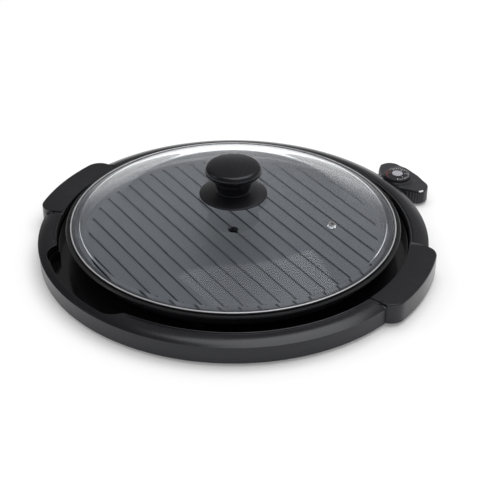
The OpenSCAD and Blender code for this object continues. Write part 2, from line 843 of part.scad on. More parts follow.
// Half section of the knob: neck, flare, rolled cap edge and crowned top
module knob_section() {
  edge = 4.6;
  z_edge = z_cap - 7;
  crown = 1.8;
  top_r = ((cap_r - edge) * (cap_r - edge) + crown * crown) / (2 * crown);
  flare_r = 11;
  flare_z = z_edge - edge - flare_r + 2.4;
  flare_x = neck_r + 3 + flare_r;
  difference() {
    union() {
      polygon([[0, z_knob], [neck_r + 0.6, z_knob], [neck_r + 1, z_knob + 0.6],
               [neck_r, z_knob + 2], [neck_r + 3, flare_z], [neck_r + 3.2, z_edge],
               [0, z_edge]]);
      translate([0, z_edge - edge]) square([cap_r - edge, 2 * edge]);
      translate([cap_r - edge, z_edge]) circle(r = edge);
      intersection() {
        translate([0, z_edge + edge + crown - top_r]) circle(r = top_r, $fn = 360);
        translate([0, z_edge]) square([cap_r - edge, edge + crown + 1]);
      }
      translate([neck_r, flare_z]) square([flare_x - neck_r - 2, z_edge - flare_z]);
    }
    translate([flare_x, flare_z]) circle(r = flare_r);
    translate([flare_x - 2, flare_z - 6]) square([cap_r, z_edge - edge - flare_z + 6]);
  }
}

module lid_knob() {
  color("#1c1c1f") difference() {
    rotate_extrude() intersection() {
      knob_section();
      square([2 * cap_r, z_cap + 10]);
    }
    translate([0, 0, z_knob - 1]) cylinder(r = lid_screw_r + 0.02, h = 16);
  }
}

module knob_inner_gasket() {
  color("#4a4a4e") translate([0, 0, z_inner - gasket_t]) difference() {
    cylinder(r = washer_r + 1, h = gasket_t);
    translate([0, 0, -1]) cylinder(r = lid_screw_r + 0.5, h = gasket_t + 2);
  }
}

module knob_washer() {
  color("#b9bbbf") translate([0, 0, z_inner - gasket_t - washer_t]) difference() {
    cylinder(r = washer_r, h = washer_t);
    translate([0, 0, -1]) cylinder(r = lid_screw_r + 0.3, h = washer_t + 2);
  }
}

module knob_screw() {
  z0 = z_inner - gasket_t - washer_t;
  color("#b9bbbf") translate([0, 0, z0]) difference() {
    screw(lid_screw_r * 1.9, lid_head_h, lid_screw_r, z_knob + 12 - z0);
    translate([0, 0, -lid_head_h]) cross_recess(lid_screw_r * 2.2, 1.6);
  }
}

// Outline of the control's body seen from above, moved in by g
module body_outline(g) {
  w = body_half_w - g;
  c = body_corner - g;
  x0 = face_x + g;
  cx = tail_x - body_corner;
  cy = body_half_w - body_corner;
  half = concat([[x0, near_half_w - g * 0.4], [x0 + near_slant, w - 5.5], [x0 + near_slant + 6, w],
                 [cx, w]], arc_points(cx, cy, c, 90, 0, 8));
  n = len(half) - 1;
  polygon(concat(half, [for (i = [n : -1 : 0]) [half[i][0], -half[i][1]]]));
}

// Solid of the control's whole body, moved in by g: level wings, a round part under the
// dial, and a low ridge from there to the tail
module body_solid(g) {
  z0 = z_body + g;
  translate([0, 0, z0]) linear_extrude(z_wing - g - z0) body_outline(g);
  intersection() {
    translate([0, 0, z_split - 1]) linear_extrude(z_body_top - g - z_split + 1) body_outline(g);
    union() {
      translate([dial_x, 0, z_split - 1]) cylinder(r = turret_r - g, h = 20);
      rotate([90, 0, 90]) translate([0, 0, dial_x]) linear_extrude(body_l) {
        polygon([[-plug_half_w - 5, z_split - 1], [plug_half_w + 5, z_split - 1],
                 [plug_half_w + 5, z_wing - g], [9, z_body_top - g], [-9, z_body_top - g],
                 [-plug_half_w - 5, z_wing - g]]);
      }
    }
  }
}

// Plug that carries the contact sleeves and the probe into the base
module plug_solid() {
  translate([nose_x, -plug_half_w, z_plug]) {
    cube([face_x - nose_x + cover_t, 2 * plug_half_w, plug_h]);
  }
}

// Everything that is cut from both covers
module control_cuts() {
  for (s = [-1, 1]) {
    translate([nose_x - 1, s * pin_y, z_pin]) rotate([0, 90, 0]) {
      cylinder(r = sleeve_r + 0.05, h = sleeve_l + 4);
    }
  }
  translate([nose_x - 1, 0, z_pin]) rotate([0, 90, 0]) {
    cylinder(r = probe_r + 0.02, h = block_x - nose_x + 4);
  }
  translate([block_x - 0.2, -block_half_w - 0.2, z_block]) {
    cube([block_l + 0.4, 2 * block_half_w + 0.4, block_h + 0.3]);
  }
}

// The space above the covers' joint: level round the body, lower in the plug, grown by g
module upper_space(g) {
  translate([face_x - 1, -body_half_w - 2, z_split]) {
    cube([body_l + 3, 2 * body_half_w + 4, z_body_top]);
  }
  translate([nose_x - 1, -plug_half_w - g, z_pin]) {
    cube([face_x - nose_x + 1 + cover_t + g, 2 * (plug_half_w + g), z_body_top]);
  }
}

// Shell of the whole body with its plug
module control_shell() {
  difference() {
    union() {
      body_solid(0);
      plug_solid();
    }
    body_solid(cover_t);
  }
}

module control_lower_cover() {
  color("#232326") at_control() difference() {
    union() {
      difference() {
        control_shell();
        upper_space(0.05);
      }
      translate([0, 0, z_body + 1]) control_bosses(z_pin - z_body - 1);
      side_ribs();
    }
    control_cuts();
    for (p = control_screws_xy) {
      translate([p[0], p[1], z_body - 1]) {
        cylinder(r = case_screw_r + slip, h = z_pin - z_body + 2);
        cylinder(r = 2.6, h = 3);
      }
    }
    translate([tail_x - cover_t - 1, gland_y, z_gland]) rotate([0, 90, 0]) {
      cylinder(r = cord_r + 1.2, h = cover_t + 2);
    }
  }
}

// Round bosses that take the case screws
module control_bosses(h) {
  for (p = control_screws_xy) translate([p[0], p[1], 0]) cylinder(r = case_boss_r, h = h);
}

// Upright ribs on both sides where two fingers pull the control out
module side_ribs() {
  x0 = face_x + near_slant;
  for (s = [-1, 1], i = [0 : grip_rib_n - 1]) {
    rib_x = x0 + i * grip_rib_pitch;
    rib_y = min(body_half_w, body_half_w - 5.5 + (rib_x - x0) * 5.5 / 6);
    translate([rib_x, s * rib_y, z_body + 1]) {
      cylinder(r = grip_rib_w / 2, h = z_split - z_body - 1.8);
    }
  }
}

module control_upper_cover() {
  color("#232326") at_control() difference() {
    union() {
      intersection() {
        control_shell();
        upper_space(0);
      }
      translate([0, 0, z_pin]) control_bosses(z_wing - z_pin - 1);
      translate([dial_x, 0, z_body_top - 3]) cylinder(r = dial_shaft_r + 3, h = 3);
    }
    control_cuts();
    translate([dial_x, 0, z_pin]) cylinder(r = dial_shaft_r + run_fit, h = body_above + 5);
    for (p = control_screws_xy) {
      translate([p[0], p[1], z_pin - 1]) cylinder(r = case_screw_r, h = 5);
    }
    translate([lens_x, -body_half_w - 1, z_split - 1]) {
      cube([lens_l, lens_in + 1, lens_h + 1]);
    }
  }
}

module control_screws() {
  color("#b9bbbf") at_control() for (p = control_screws_xy) {
    translate([p[0], p[1], z_body + 2]) difference() {
      screw(2.4, 1.5, case_screw_r - 0.02, z_pin - z_body + 1.5);
      translate([0, 0, -1.5]) cross_recess(2.8, 0.8);
    }
  }
}

module contact_sleeves() {
  color("#c8a24a") at_control() for (s = [-1, 1]) {
    translate([nose_x, s * pin_y, z_pin]) rotate([0, 90, 0]) difference() {
      cylinder(r = sleeve_r, h = sleeve_l);
      translate([0, 0, -1]) cylinder(r = pin_r + run_fit, h = sleeve_l - 1);
    }
  }
}

module probe_rod() {
  tip = probe_r;
  color("#c4c6ca") at_control() translate([probe_tip_x + 1, 0, z_pin]) rotate([0, 90, 0]) {
    translate([0, 0, tip]) sphere(r = tip);
    translate([0, 0, tip]) cylinder(r = probe_r, h = block_x - probe_tip_x - 1 - tip);
  }
}

module thermostat_block() {
  color("#5a3d2a") at_control() difference() {
    translate([block_x, -block_half_w, z_block]) {
      cube([block_l, 2 * block_half_w, block_h]);
    }
    translate([dial_x, 0, z_block + block_h - shaft_in]) {
      cylinder(r = dial_shaft_r + run_fit, h = shaft_in + 1);
    }
    for (s = [-1, 1]) {
      translate([block_x - 1, s * pin_y - 1.5, z_pin - 1]) cube([block_l + 2, 3, 1.2]);
    }
  }
}

// Flat blades that lead the current from each sleeve through the switch
module thermostat_blades() {
  color("#c8a24a") at_control() for (s = [-1, 1]) {
    translate([nose_x + sleeve_l, s * pin_y - 1.4, z_pin - 0.9]) {
      cube([block_l + block_x - nose_x - sleeve_l - 1, 2.8, 1]);
    }
  }
}

module indicator_lens() {
  color("#dfe3e6") at_control() intersection() {
    translate([0, 0, z_split]) linear_extrude(lens_h - 0.05) body_outline(0);
    translate([lens_x + 0.05, -body_half_w - 1, z_split - 1]) {
      cube([lens_l - 0.1, lens_in + 0.95, lens_h + 2]);
    }
  }
}

module indicator_lamp() {
  color("#f0b070") at_control() {
    translate([lens_x + 3, 6.5 - body_half_w, z_wing - cover_t - lamp_l]) {
      cylinder(r = lamp_r, h = lamp_l);
    }
  }
}

module cord_gland() {
  color("#1b1b1d") at_control() translate([tail_x, gland_y, z_gland]) {
    rotate([0, -90, 0]) difference() {
      union() {
        cylinder(r = cord_r + 1.15, h = cover_t + 1);
        translate([0, 0, cover_t]) cylinder(r = cord_r + 2, h = 1.4);
      }
      translate([0, 0, -1]) cylinder(r = cord_r, h = cover_t + 5);
    }
  }
}

module dial_shaft() {
  z0 = z_block + block_h - shaft_in + 0.3;
  color("#b9bbbf") at_control() translate([dial_x, 0, z0]) {
    cylinder(r = dial_shaft_r, h = z_body_top + dial_h - 1.4 - z0);
  }
}

module control_dial() {
  grooves = 30;
  color("#2b2b2f") at_control() translate([dial_x, 0, z_body_top + 0.4]) difference() {
    rotate_extrude() polygon([[0, 0], [dial_r, 0], [dial_r, dial_h - 1.2],
      [dial_r - 1.3, dial_h], [0, dial_h]]);
    translate([0, 0, -1]) cylinder(r = dial_shaft_r + 0.02, h = dial_h - 0.8);
    around([for (i = [0 : grooves - 1]) i * 360 / grooves], dial_r + 0.3) {
      translate([0, 0, -1]) cylinder(r = 0.6, h = dial_h - 0.6, $fn = 16);
    }
    translate([0, 0, dial_h - 0.6]) cylinder(r = dial_r * 0.45, h = 2);
  }
}

module dial_face() {
  color("#c9cbce") at_control() {
    translate([dial_x, 0, z_body_top + 0.4 + dial_h - 0.6]) difference() {
      cylinder(r = dial_r * 0.45 - 0.03, h = 0.7);
      translate([-0.5, 2, 0.5]) cube([1, dial_r * 0.45 - 3, 1]);
    }
  }
}

base_pan();
rubber_feet();
housing_ring();
housing_screws();
drip_tray();
grill_plate();
heating_element();
terminal_insulators();
terminal_pins();
terminal_bracket();
bracket_screws();
element_clips();
clip_screws();
plate_legs();
plate_leg_screws();
lid_glass();
lid_rim_band();
steam_vent_eyelet();
knob_outer_gasket();
knob_heat_shield();
lid_knob();
knob_inner_gasket();
knob_washer();
knob_screw();
control_lower_cover();
control_upper_cover();
control_screws();
contact_sleeves();
probe_rod();
thermostat_block();
thermostat_blades();
indicator_lens();
indicator_lamp();
cord_gland();
dial_shaft();
control_dial();
dial_face();
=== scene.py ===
# %% [markdown]
# # A round table grill with a glass lid
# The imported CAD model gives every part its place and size. This lesson dresses it: moulded
# plastic, a coated cooking plate, a clear glass lid with a steel rim, and a plug-in heat control.
# The scene is in metres, +Z up, with the origin on the table under the middle of the plate.
# Shapes are drawn in millimetres, which read better, and are scaled as their mesh is made.

# %% Load the frame
import math
import bpy
import bmesh
from mathutils import Matrix, Vector


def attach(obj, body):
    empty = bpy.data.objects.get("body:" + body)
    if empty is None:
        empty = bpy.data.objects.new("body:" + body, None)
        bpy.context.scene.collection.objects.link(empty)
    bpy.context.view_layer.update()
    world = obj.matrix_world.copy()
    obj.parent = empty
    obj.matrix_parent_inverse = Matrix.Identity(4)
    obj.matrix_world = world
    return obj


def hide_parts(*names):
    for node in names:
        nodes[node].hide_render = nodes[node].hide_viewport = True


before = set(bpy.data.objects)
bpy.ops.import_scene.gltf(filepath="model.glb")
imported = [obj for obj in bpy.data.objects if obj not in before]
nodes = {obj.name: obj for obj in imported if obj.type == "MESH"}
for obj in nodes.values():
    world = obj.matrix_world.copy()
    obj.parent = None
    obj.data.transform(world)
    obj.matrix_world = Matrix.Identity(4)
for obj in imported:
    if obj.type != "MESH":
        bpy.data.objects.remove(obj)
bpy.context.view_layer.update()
MM = 0.001

# %% [markdown]
# ## The camera
# The photograph looks down on the grill from about a third of a right angle. A long lens keeps
# the round plate nearly free of perspective, so the camera stands far off. The grill isn't quite
# in the middle of the picture, which the lens shift gives back without turning the camera.

# %% Camera at the photograph's place
camera_turn, camera_rise, camera_reach = math.radians(-63.0), math.radians(32.58), 1.4
camera_right = camera_turn + math.pi / 2
looks_at = Vector((0, 0, 0.003))
camera_data = bpy.data.cameras.new("camera")
camera = bpy.data.objects.new("camera", camera_data)
bpy.context.scene.collection.objects.link(camera)
camera_data.sensor_width = 36
camera_data.lens = 94.37
camera_data.shift_x = 0.0140
camera_data.shift_y = 0.0130
camera.location = looks_at + camera_reach * Vector((
    math.cos(camera_rise) * math.cos(camera_turn),
    math.cos(camera_rise) * math.sin(camera_turn),
    math.sin(camera_rise)))
camera.rotation_euler = (looks_at - camera.location).to_track_quat("-Z", "Y").to_euler()
bpy.context.scene.camera = camera
print("camera at", [round(v, 3) for v in camera.location])

# %% [markdown]
# ## Shader maths as plain expressions
# A finish is a small calculation: some noise, times a strength, plus a base value. Wrapping a
# socket in a class with the usual operators lets the calculation be read as such, and every
# operator adds the Math node that does it. The reflected forms make 1 - mask work too.

# %% A wire that knows arithmetic
class Wire:
    def __init__(self, net, socket):
        self.net, self.socket = net, socket

    def maths(self, operation, first, second):
        return self.net.node("ShaderNodeMath", {"operation": operation},
                             {0: first, 1: second})["Value"]

    def __add__(self, other): return self.maths("ADD", self, other)
    def __radd__(self, other): return self.maths("ADD", other, self)
    def __sub__(self, other): return self.maths("SUBTRACT", self, other)
    def __rsub__(self, other): return self.maths("SUBTRACT", other, self)
    def __mul__(self, other): return self.maths("MULTIPLY", self, other)
    def __rmul__(self, other): return self.maths("MULTIPLY", other, self)
    def __gt__(self, other): return self.maths("GREATER_THAN", self, other)
    def __lt__(self, other): return self.maths("LESS_THAN", self, other)
    def __pow__(self, other): return self.maths("POWER", self, other)


print("wire ready")

# %% [markdown]
# ## Nodes, one call at a time
# A material and the world are both trees of nodes. One method adds any node: it takes the node's
# type, the settings that change what it does, and the values or wires of its sockets. The few
# patterns that come back, such as noise, a rescaled value and a blend of colours, get a short name.

# %% The node tree
class Outputs:
    def __init__(self, net, made):
        self.net, self.made = net, made

    def __getitem__(self, name):
        return Wire(self.net, self.made.outputs[name])


class Net:
    def __init__(self, tree):
        self.tree = tree

    def plug(self, socket, value):
        """Links a wire; a number fills a colour or a vector, and a colour gets its alpha."""
        if isinstance(value, Wire):
            self.tree.links.new(value.socket, socket)
        elif hasattr(socket.default_value, "__len__") and not hasattr(value, "__len__"):
            socket.default_value = [value] * 3 + [1.0] * (len(socket.default_value) - 3)
        elif hasattr(value, "__len__") and len(socket.default_value) > len(value):
            socket.default_value = [*value, 1.0]
        else:
            socket.default_value = value

    def node(self, kind, settings=None, sockets=None):
        made = self.tree.nodes.new(kind)
        for name, value in (settings or {}).items():
            setattr(made, name, value)
        for name, value in (sockets or {}).items():
            self.plug(made.inputs[name], value)
        return Outputs(self, made)

    def place(self):
        return self.node("ShaderNodeTexCoord")["Object"]

    def noise(self, scale, detail=3.0, roughness=0.5, where=None):
        return self.node("ShaderNodeTexNoise", {}, {
            "Vector": where or self.place(), "Scale": scale, "Detail": detail,
            "Roughness": roughness})["Fac"]

    def between(self, low, high, amount):
        """Noise keeps mostly to 0.3 to 0.7, so that span is stretched over low to high."""
        return self.node("ShaderNodeMapRange", {}, {
            "Value": amount, "From Min": 0.3, "From Max": 0.7,
            "To Min": low, "To Max": high})["Result"]

    def fade(self, value, first, last, low, high):
        return self.node("ShaderNodeMapRange", {"interpolation_type": "SMOOTHSTEP"}, {
            "Value": value, "From Min": first, "From Max": last,
            "To Min": low, "To Max": high})["Result"]

    def blend(self, first, second, amount):
        mixed = self.node("ShaderNodeMix", {"data_type": "RGBA"}, {0: amount, 6: first, 7: second})
        return mixed[2]


print("node tree ready")

# %% [markdown]
# ## A finish
# A finish is a material: a node tree that ends in one Principled shader. Its sockets are set by
# name, and a bump is made from a height in metres, so that fine grain stays as fine as it is.

# %% The finish
class Finish(Net):
    def __init__(self, name, **shader):
        self.name, self.material = name, bpy.data.materials.new(name)
        self.material.use_nodes = True
        super().__init__(self.material.node_tree)
        self.shader = self.tree.nodes["Principled BSDF"]
        self.set(**shader)

    def set(self, **sockets):
        for name, value in sockets.items():
            self.plug(self.shader.inputs[name.replace("_", " ")], value)
        return self

    def bumpy(self, height, depth, strength):
        bump = self.node("ShaderNodeBump", {}, {
            "Height": height, "Distance": depth, "Strength": strength})["Normal"]
        return self.set(Normal=bump)


print("finish ready")

# %% [markdown]
# ## Moulded plastic
# The base, the ring and the control are black moulded plastic. A spark-eroded mould leaves a very
# fine grain, which softens reflections but doesn't hide them, and slow changes in gloss come from
# handling. Two scales of noise give this: a fine one for the bump, a broad one for the roughness.

# %% Plastics
def moulded(name, colour, gloss, grain=0.00002, grain_scale=2600.0, spread=0.05, coat=0.0):
    plastic = Finish(name, IOR=1.42, Specular_IOR_Level=0.5, Coat_Weight=coat,
                     Coat_Roughness=0.16, Specular_Tint=(0.90, 0.91, 1.0))
    slow = plastic.noise(14.0, 4.0)
    fine = plastic.noise(grain_scale, 2.0, 0.6)
    tone = plastic.blend([c * 0.85 for c in colour], [c * 1.2 for c in colour],
                         plastic.between(0.0, 1.0, slow))
    plastic.set(Base_Color=tone, Roughness=plastic.between(gloss - spread, gloss + spread, slow)
                + plastic.between(-0.03, 0.03, fine))
    return plastic.bumpy(fine, grain, 0.8)


ring_plastic = moulded("ring_plastic", (0.006, 0.006, 0.007), 0.24, coat=0.2)
base_plastic = moulded("base_plastic", (0.007, 0.007, 0.009), 0.27, coat=0.15)
knob_plastic = moulded("knob_plastic", (0.006, 0.006, 0.008), 0.28)
shield_plastic = moulded("shield_plastic", (0.007, 0.007, 0.008), 0.38)
control_plastic = moulded("control_plastic", (0.028, 0.028, 0.031), 0.36, 0.00004, 1800.0)
dial_plastic = moulded("dial_plastic", (0.018, 0.018, 0.020), 0.30)
leg_plastic = moulded("leg_plastic", (0.02, 0.019, 0.018), 0.55)
block_phenolic = moulded("block_phenolic", (0.10, 0.045, 0.022), 0.5)
rubber = moulded("soft_rubber", (0.015, 0.015, 0.015), 0.75, 0.00006, 1500.0, 0.04)
gasket_rubber = moulded("gasket_rubber", (0.012, 0.012, 0.012), 0.7, 0.00006, 1500.0, 0.04)
print("plastics", ring_plastic.name, base_plastic.name, "and others")

# %% [markdown]
# ## The coated plate and the enamelled tray
# A non-stick coating is sprayed on: it has a fine speckle of slightly lighter flakes, and a skin
# that is a little uneven. The plate's rim, outside the lid's seat, is painted near black as painted
# shade for the recess between the lid and the ring. Enamel on the tray is glossy and waves
# slightly, like orange peel.

# %% Coating and enamel
# Radius beyond which the plate's colour is painted near black as shade of the recess.
SHADED_RIM_FROM = 0.1772


def coating():
    coat = Finish("plate_coating", Specular_IOR_Level=0.5, IOR=1.5)
    flakes = coat.node("ShaderNodeTexVoronoi", {"feature": "F1"}, {
        "Vector": coat.place(), "Scale": 1500.0})["Distance"]
    slow = coat.noise(22.0, 5.0)
    fine = coat.noise(1900.0, 2.0, 0.6)
    dark = coat.blend([0.016, 0.0175, 0.022], [0.022, 0.024, 0.030], coat.between(0, 1, slow))
    tone = coat.blend(dark, [0.034, 0.037, 0.044], (flakes < 0.16) * coat.between(0, 1, fine))
    split = coat.node("ShaderNodeSeparateXYZ", {}, {0: coat.place()})
    # Painted shade: outside the lid's seat the coating's colour goes near black for the recess
    # between the lid and the ring, and the rim is also glossier there.
    rim = (split["X"] * split["X"] + split["Y"] * split["Y"]) > SHADED_RIM_FROM ** 2
    tone = coat.blend(tone, [0.004, 0.004, 0.005], rim)
    coat.set(Base_Color=tone, Roughness=coat.between(0.36, 0.46, slow) - rim * 0.12)
    return coat.bumpy(fine, 0.00002, 0.4)


def enamel():
    skin = Finish("tray_enamel", IOR=1.5)
    waves = skin.noise(240.0, 2.0)
    dust = skin.noise(60.0, 6.0, 0.7)
    tone = skin.blend([0.004, 0.004, 0.0045], [0.007, 0.007, 0.008], skin.between(0, 1, dust))
    skin.set(Base_Color=tone, Roughness=skin.between(0.10, 0.17, dust))
    return skin.bumpy(waves, 0.00006, 0.5)


plate_coating, tray_enamel = coating(), enamel()
print("plate", plate_coating.name, "tray", tray_enamel.name)

# %% [markdown]
# ## Metals
# The lid's rim is brushed along its length, so its fine lines run round the axis. They come from a
# noise that is read in round coordinates: the angle is squeezed, the radius and height are
# stretched. Screws, straps and pins are plain bright or dull metal with a fine scatter.

# %% Brushed and plain metals
def brushed_round(name, colour, gloss, metallic):
    metal = Finish(name, Metallic=metallic)
    split = metal.node("ShaderNodeSeparateXYZ", {}, {0: metal.place()})
    x, y, z = split["X"], split["Y"], split["Z"]
    angle = metal.node("ShaderNodeMath", {"operation": "ARCTAN2"}, {0: y, 1: x})["Value"]
    radius = (x * x + y * y) ** 0.5
    where = metal.node("ShaderNodeCombineXYZ", {}, {
        0: angle * 6.0, 1: radius * 5200.0, 2: z * 5200.0})["Vector"]
    lines = metal.noise(1.0, 3.0, 0.6, where)
    slow = metal.noise(30.0, 3.0)
    tone = metal.blend([c * 0.8 for c in colour], colour, metal.between(0, 1, lines))
    metal.set(Base_Color=tone, Roughness=metal.between(gloss - 0.06, gloss + 0.08, lines)
              + metal.between(-0.03, 0.03, slow))
    return metal.bumpy(lines, 0.00001, 0.5)


def plain_metal(name, colour, gloss):
    metal = Finish(name, Metallic=1.0)
    slow, fine = metal.noise(60.0, 5.0), metal.noise(2400.0, 2.0)
    tone = metal.blend([c * 0.82 for c in colour], colour, metal.between(0, 1, slow))
    metal.set(Base_Color=tone, Roughness=metal.between(gloss - 0.05, gloss + 0.07, slow))
    return metal.bumpy(fine, 0.00001, 0.5)


band_steel = brushed_round("band_steel", (0.74, 0.74, 0.76), 0.32, 0.6)
eyelet_steel = plain_metal("eyelet_steel", (0.75, 0.75, 0.76), 0.16)
screw_steel = plain_metal("screw_steel", (0.55, 0.55, 0.56), 0.3)
strap_steel = plain_metal("strap_steel", (0.36, 0.36, 0.37), 0.42)
sheath_steel = plain_metal("element_sheath", (0.09, 0.088, 0.09), 0.45)
probe_steel = plain_metal("probe_steel", (0.6, 0.6, 0.61), 0.22)
contact_brass = plain_metal("contact_brass", (0.72, 0.52, 0.2), 0.3)
pin_metal = plain_metal("pin_metal", (0.66, 0.64, 0.58), 0.24)
dial_silver = moulded("dial_silver", (0.36, 0.36, 0.39), 0.34, 0.00001, 2400.0)
insulator = moulded("insulator_ceramic", (0.62, 0.59, 0.52), 0.5)
print("metals", band_steel.name, screw_steel.name, "and others")

# %% [markdown]
# ## Glass
# The lid is clear glass. Light has to reach the plate through it, so the glass lets shadow rays
# pass, while the camera sees its real reflections. A faint haze in the roughness is what a wiped
# lid keeps. The small lens and the lamp behind it are milky plastic.

# %% Clear glass and milky lens
def clear(name, tint, haze, bends, passes):
    glass = Finish(name, IOR=bends, Transmission_Weight=1.0, Base_Color=tint)
    wiped = glass.noise(9.0, 5.0, 0.6)
    glass.set(Roughness=glass.between(0.0, haze, wiped))
    open_way = glass.node("ShaderNodeBsdfTransparent", {}, {"Color": passes})["BSDF"]
    shadow = glass.node("ShaderNodeLightPath")["Is Shadow Ray"]
    mixed = glass.node("ShaderNodeMixShader", {}, {
        0: shadow, 1: Wire(glass, glass.shader.outputs["BSDF"]), 2: open_way})["Shader"]
    output = glass.tree.nodes["Material Output"]
    glass.tree.links.new(mixed.socket, output.inputs["Surface"])
    return glass


lid_glass = clear("lid_glass", (0.945, 0.970, 0.995), haze=0.02, bends=1.17, passes=0.92)
lens_clear = moulded("lens_clear", (0.86, 0.87, 0.90), 0.16, 0.000004)
lamp_glass = moulded("lamp_glass", (0.75, 0.30, 0.12), 0.2)
print("glass", lid_glass.name, "lens", lens_clear.name)

# %% [markdown]
# ## From rows of points to a piece
# Most parts are turned: a profile of radius and height goes once round the axis. Others are
# lofted: rows of points follow each other and are joined by faces. Both end in one helper that
# cleans the mesh, shades it smoothly except at real edges, and tells the frame what it rides on.

# %% Mesh helpers
def finish_mesh(mesh, name, finish, body, stands_for=(), sharp=35.0, at=None,
                faces_up=None):
    """Closed meshes find their outside; an open shell says whether its end face looks up."""
    bmesh.ops.remove_doubles(mesh, verts=mesh.verts, dist=1e-7)
    bmesh.ops.dissolve_degenerate(mesh, dist=1e-7, edges=mesh.edges)
    bmesh.ops.recalc_face_normals(mesh, faces=mesh.faces)
    if faces_up is not None:
        sign = 1 if faces_up else -1
        end = max(mesh.faces, key=lambda face: sign * face.calc_center_median().z)
        if end.normal.z * sign < 0:
            bmesh.ops.reverse_faces(mesh, faces=mesh.faces)
    if at is not None:
        bmesh.ops.transform(mesh, matrix=at, verts=mesh.verts)
    for edge in mesh.edges:
        edge.smooth = edge.calc_face_angle(0.0) < math.radians(sharp)
    for face in mesh.faces:
        face.smooth = True
    data = bpy.data.meshes.new(name)
    mesh.to_mesh(data)
    mesh.free()
    piece = bpy.data.objects.new(name, data)
    bpy.context.scene.collection.objects.link(piece)
    data.materials.append(finish.material)
    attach(piece, body)
    if stands_for:
        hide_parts(*stands_for)
    return piece


def loft(mesh, rows, around=False, along=False):
    """Joins rows of points in millimetres; around closes each row, along joins last to first."""
    made = [[mesh.verts.new(Vector(point) * MM) for point in row] for row in rows]
    for k in range(len(made) if along else len(made) - 1):
        one, two = made[k], made[(k + 1) % len(made)]
        for j in range(len(one) if around else len(one) - 1):
            i = (j + 1) % len(one)
            mesh.faces.new((one[j], one[i], two[i], two[j]))
    return made


def ring_of(profile, angle):
    """A profile of radii and heights, stood up at an angle round the axis."""
    return [(r * math.cos(angle), r * math.sin(angle), z) for r, z in profile]


def turned(profile, name, finish, body, stands_for=(), steps=256, at=None):
    """Turns a closed profile in millimetres round the axis."""
    mesh = bmesh.new()
    rows = [ring_of(profile, 2 * math.pi * k / steps) for k in range(steps)]
    loft(mesh, rows, around=True, along=True)
    return finish_mesh(mesh, name, finish, body, stands_for, at=at)


print("mesh helpers ready")

# %% [markdown]
# ## Points on a line, an arc and a round corner
# A drawing is made of straight runs, arcs and rounded corners, so a profile here is too. A corner
# is a curve that leaves each side a given distance before the point and bends towards it.

# %% Drawing helpers
def rounded(points, radius, steps=4):
    """A closed outline with soft corners; radius is one number, or one for each point."""
    made = []
    for k, point in enumerate(points):
        before, here, after = (Vector(points[k - 1]), Vector(point),
                               Vector(points[(k + 1) % len(points)]))
        cut = radius[k] if hasattr(radius, "__len__") else radius
        a, b = before - here, after - here
        cut = min(cut, 0.45 * a.length, 0.45 * b.length)
        if cut < 1e-6:
            made.append(tuple(here))
            continue
        start, end = here + a.normalized() * cut, here + b.normalized() * cut
        for i in range(steps + 1):
            t = i / steps
            made.append(tuple((1 - t) ** 2 * start + 2 * t * (1 - t) * here + t * t * end))
    return made


def arc(x, y, r, first, last, count):
    """Points of an arc, with angles in degrees."""
    spread = [math.radians(first + (last - first) * i / count) for i in range(count + 1)]
    return [(x + r * math.cos(a), y + r * math.sin(a)) for a in spread]


def soft(value):
    """Rises from 0 to 1 without a corner."""
    value = min(max(value, 0.0), 1.0)
    return value * value * (3 - 2 * value)


def line(first, last, count):
    return [first + (last - first) * i / (count - 1) for i in range(count)]


print("a quarter arc", [tuple(round(v, 2) for v in point) for point in arc(0, 0, 1, 0, 90, 2)])

# %% [markdown]
# ## Round holes
# A drilled hole is cut with a boolean and a round bar. The cut is applied at once, so no helper
# object stays in the scene and the piece is a plain mesh again.

# %% Boring
def bored(piece, bars, at):
    """Cuts round bars, each a place, a direction, a radius and a length in millimetres."""
    mesh = bmesh.new()
    for place, aim, radius, length in bars:
        turn = Vector((0, 0, 1)).rotation_difference(Vector(aim)).to_matrix().to_4x4()
        bmesh.ops.create_cone(mesh, cap_ends=True, segments=64, radius1=radius * MM,
                              radius2=radius * MM, depth=length * MM,
                              matrix=at @ Matrix.Translation(Vector(place) * MM) @ turn)
    data = bpy.data.meshes.new("bars")
    mesh.to_mesh(data)
    mesh.free()
    tool = bpy.data.objects.new("bars", data)
    bpy.context.scene.collection.objects.link(tool)
    cut = piece.modifiers.new("bores", "BOOLEAN")
    cut.object, cut.solver = tool, "EXACT"
    bpy.context.view_layer.update()
    shaped = bpy.data.meshes.new_from_object(
        piece.evaluated_get(bpy.context.evaluated_depsgraph_get()))
    piece.modifiers.clear()
    piece.data = shaped
    shaped.set_sharp_from_angle(angle=math.radians(40))
    bpy.data.objects.remove(tool)


def walled(piece, thickness):
    """Gives an open shell its wall, inward from the faces."""
    wall = piece.modifiers.new("wall", "SOLIDIFY")
    wall.thickness, wall.offset = thickness * MM, -1.0


print("boring ready")

# %% [markdown]
# ## White floor
# The photograph is taken on white. The floor takes the object's shadow and gets a little light of
# its own where it is seen or mirrored, more of it far out where the lamps don't reach, so that it
# turns white away from the object.

# %% Floor
floor_finish = Finish("floor", Base_Color=(0.90, 0.90, 0.90), Roughness=0.9,
                      Specular_IOR_Level=0.0)
rays = floor_finish.node("ShaderNodeLightPath")
seen = rays["Is Camera Ray"] + rays["Is Glossy Ray"] + rays["Is Transmission Ray"]
spot = floor_finish.node("ShaderNodeSeparateXYZ", {}, {0: floor_finish.place()})
far = (spot["X"] * spot["X"] + spot["Y"] * spot["Y"]) ** 0.5
glow = floor_finish.fade(far, 0.5, 2.4, 0.15, 0.46)
floor_finish.set(Emission_Color=seen * glow, Emission_Strength=1.0)
mesh = bmesh.new()
bmesh.ops.create_circle(mesh, cap_ends=True, segments=96, radius=6.0)
floor_data = bpy.data.meshes.new("floor")
mesh.to_mesh(floor_data)
mesh.free()
floor = bpy.data.objects.new("floor", floor_data)
floor_data.materials.append(floor_finish.material)
bpy.context.scene.collection.objects.link(floor)
print("floor", floor.name)

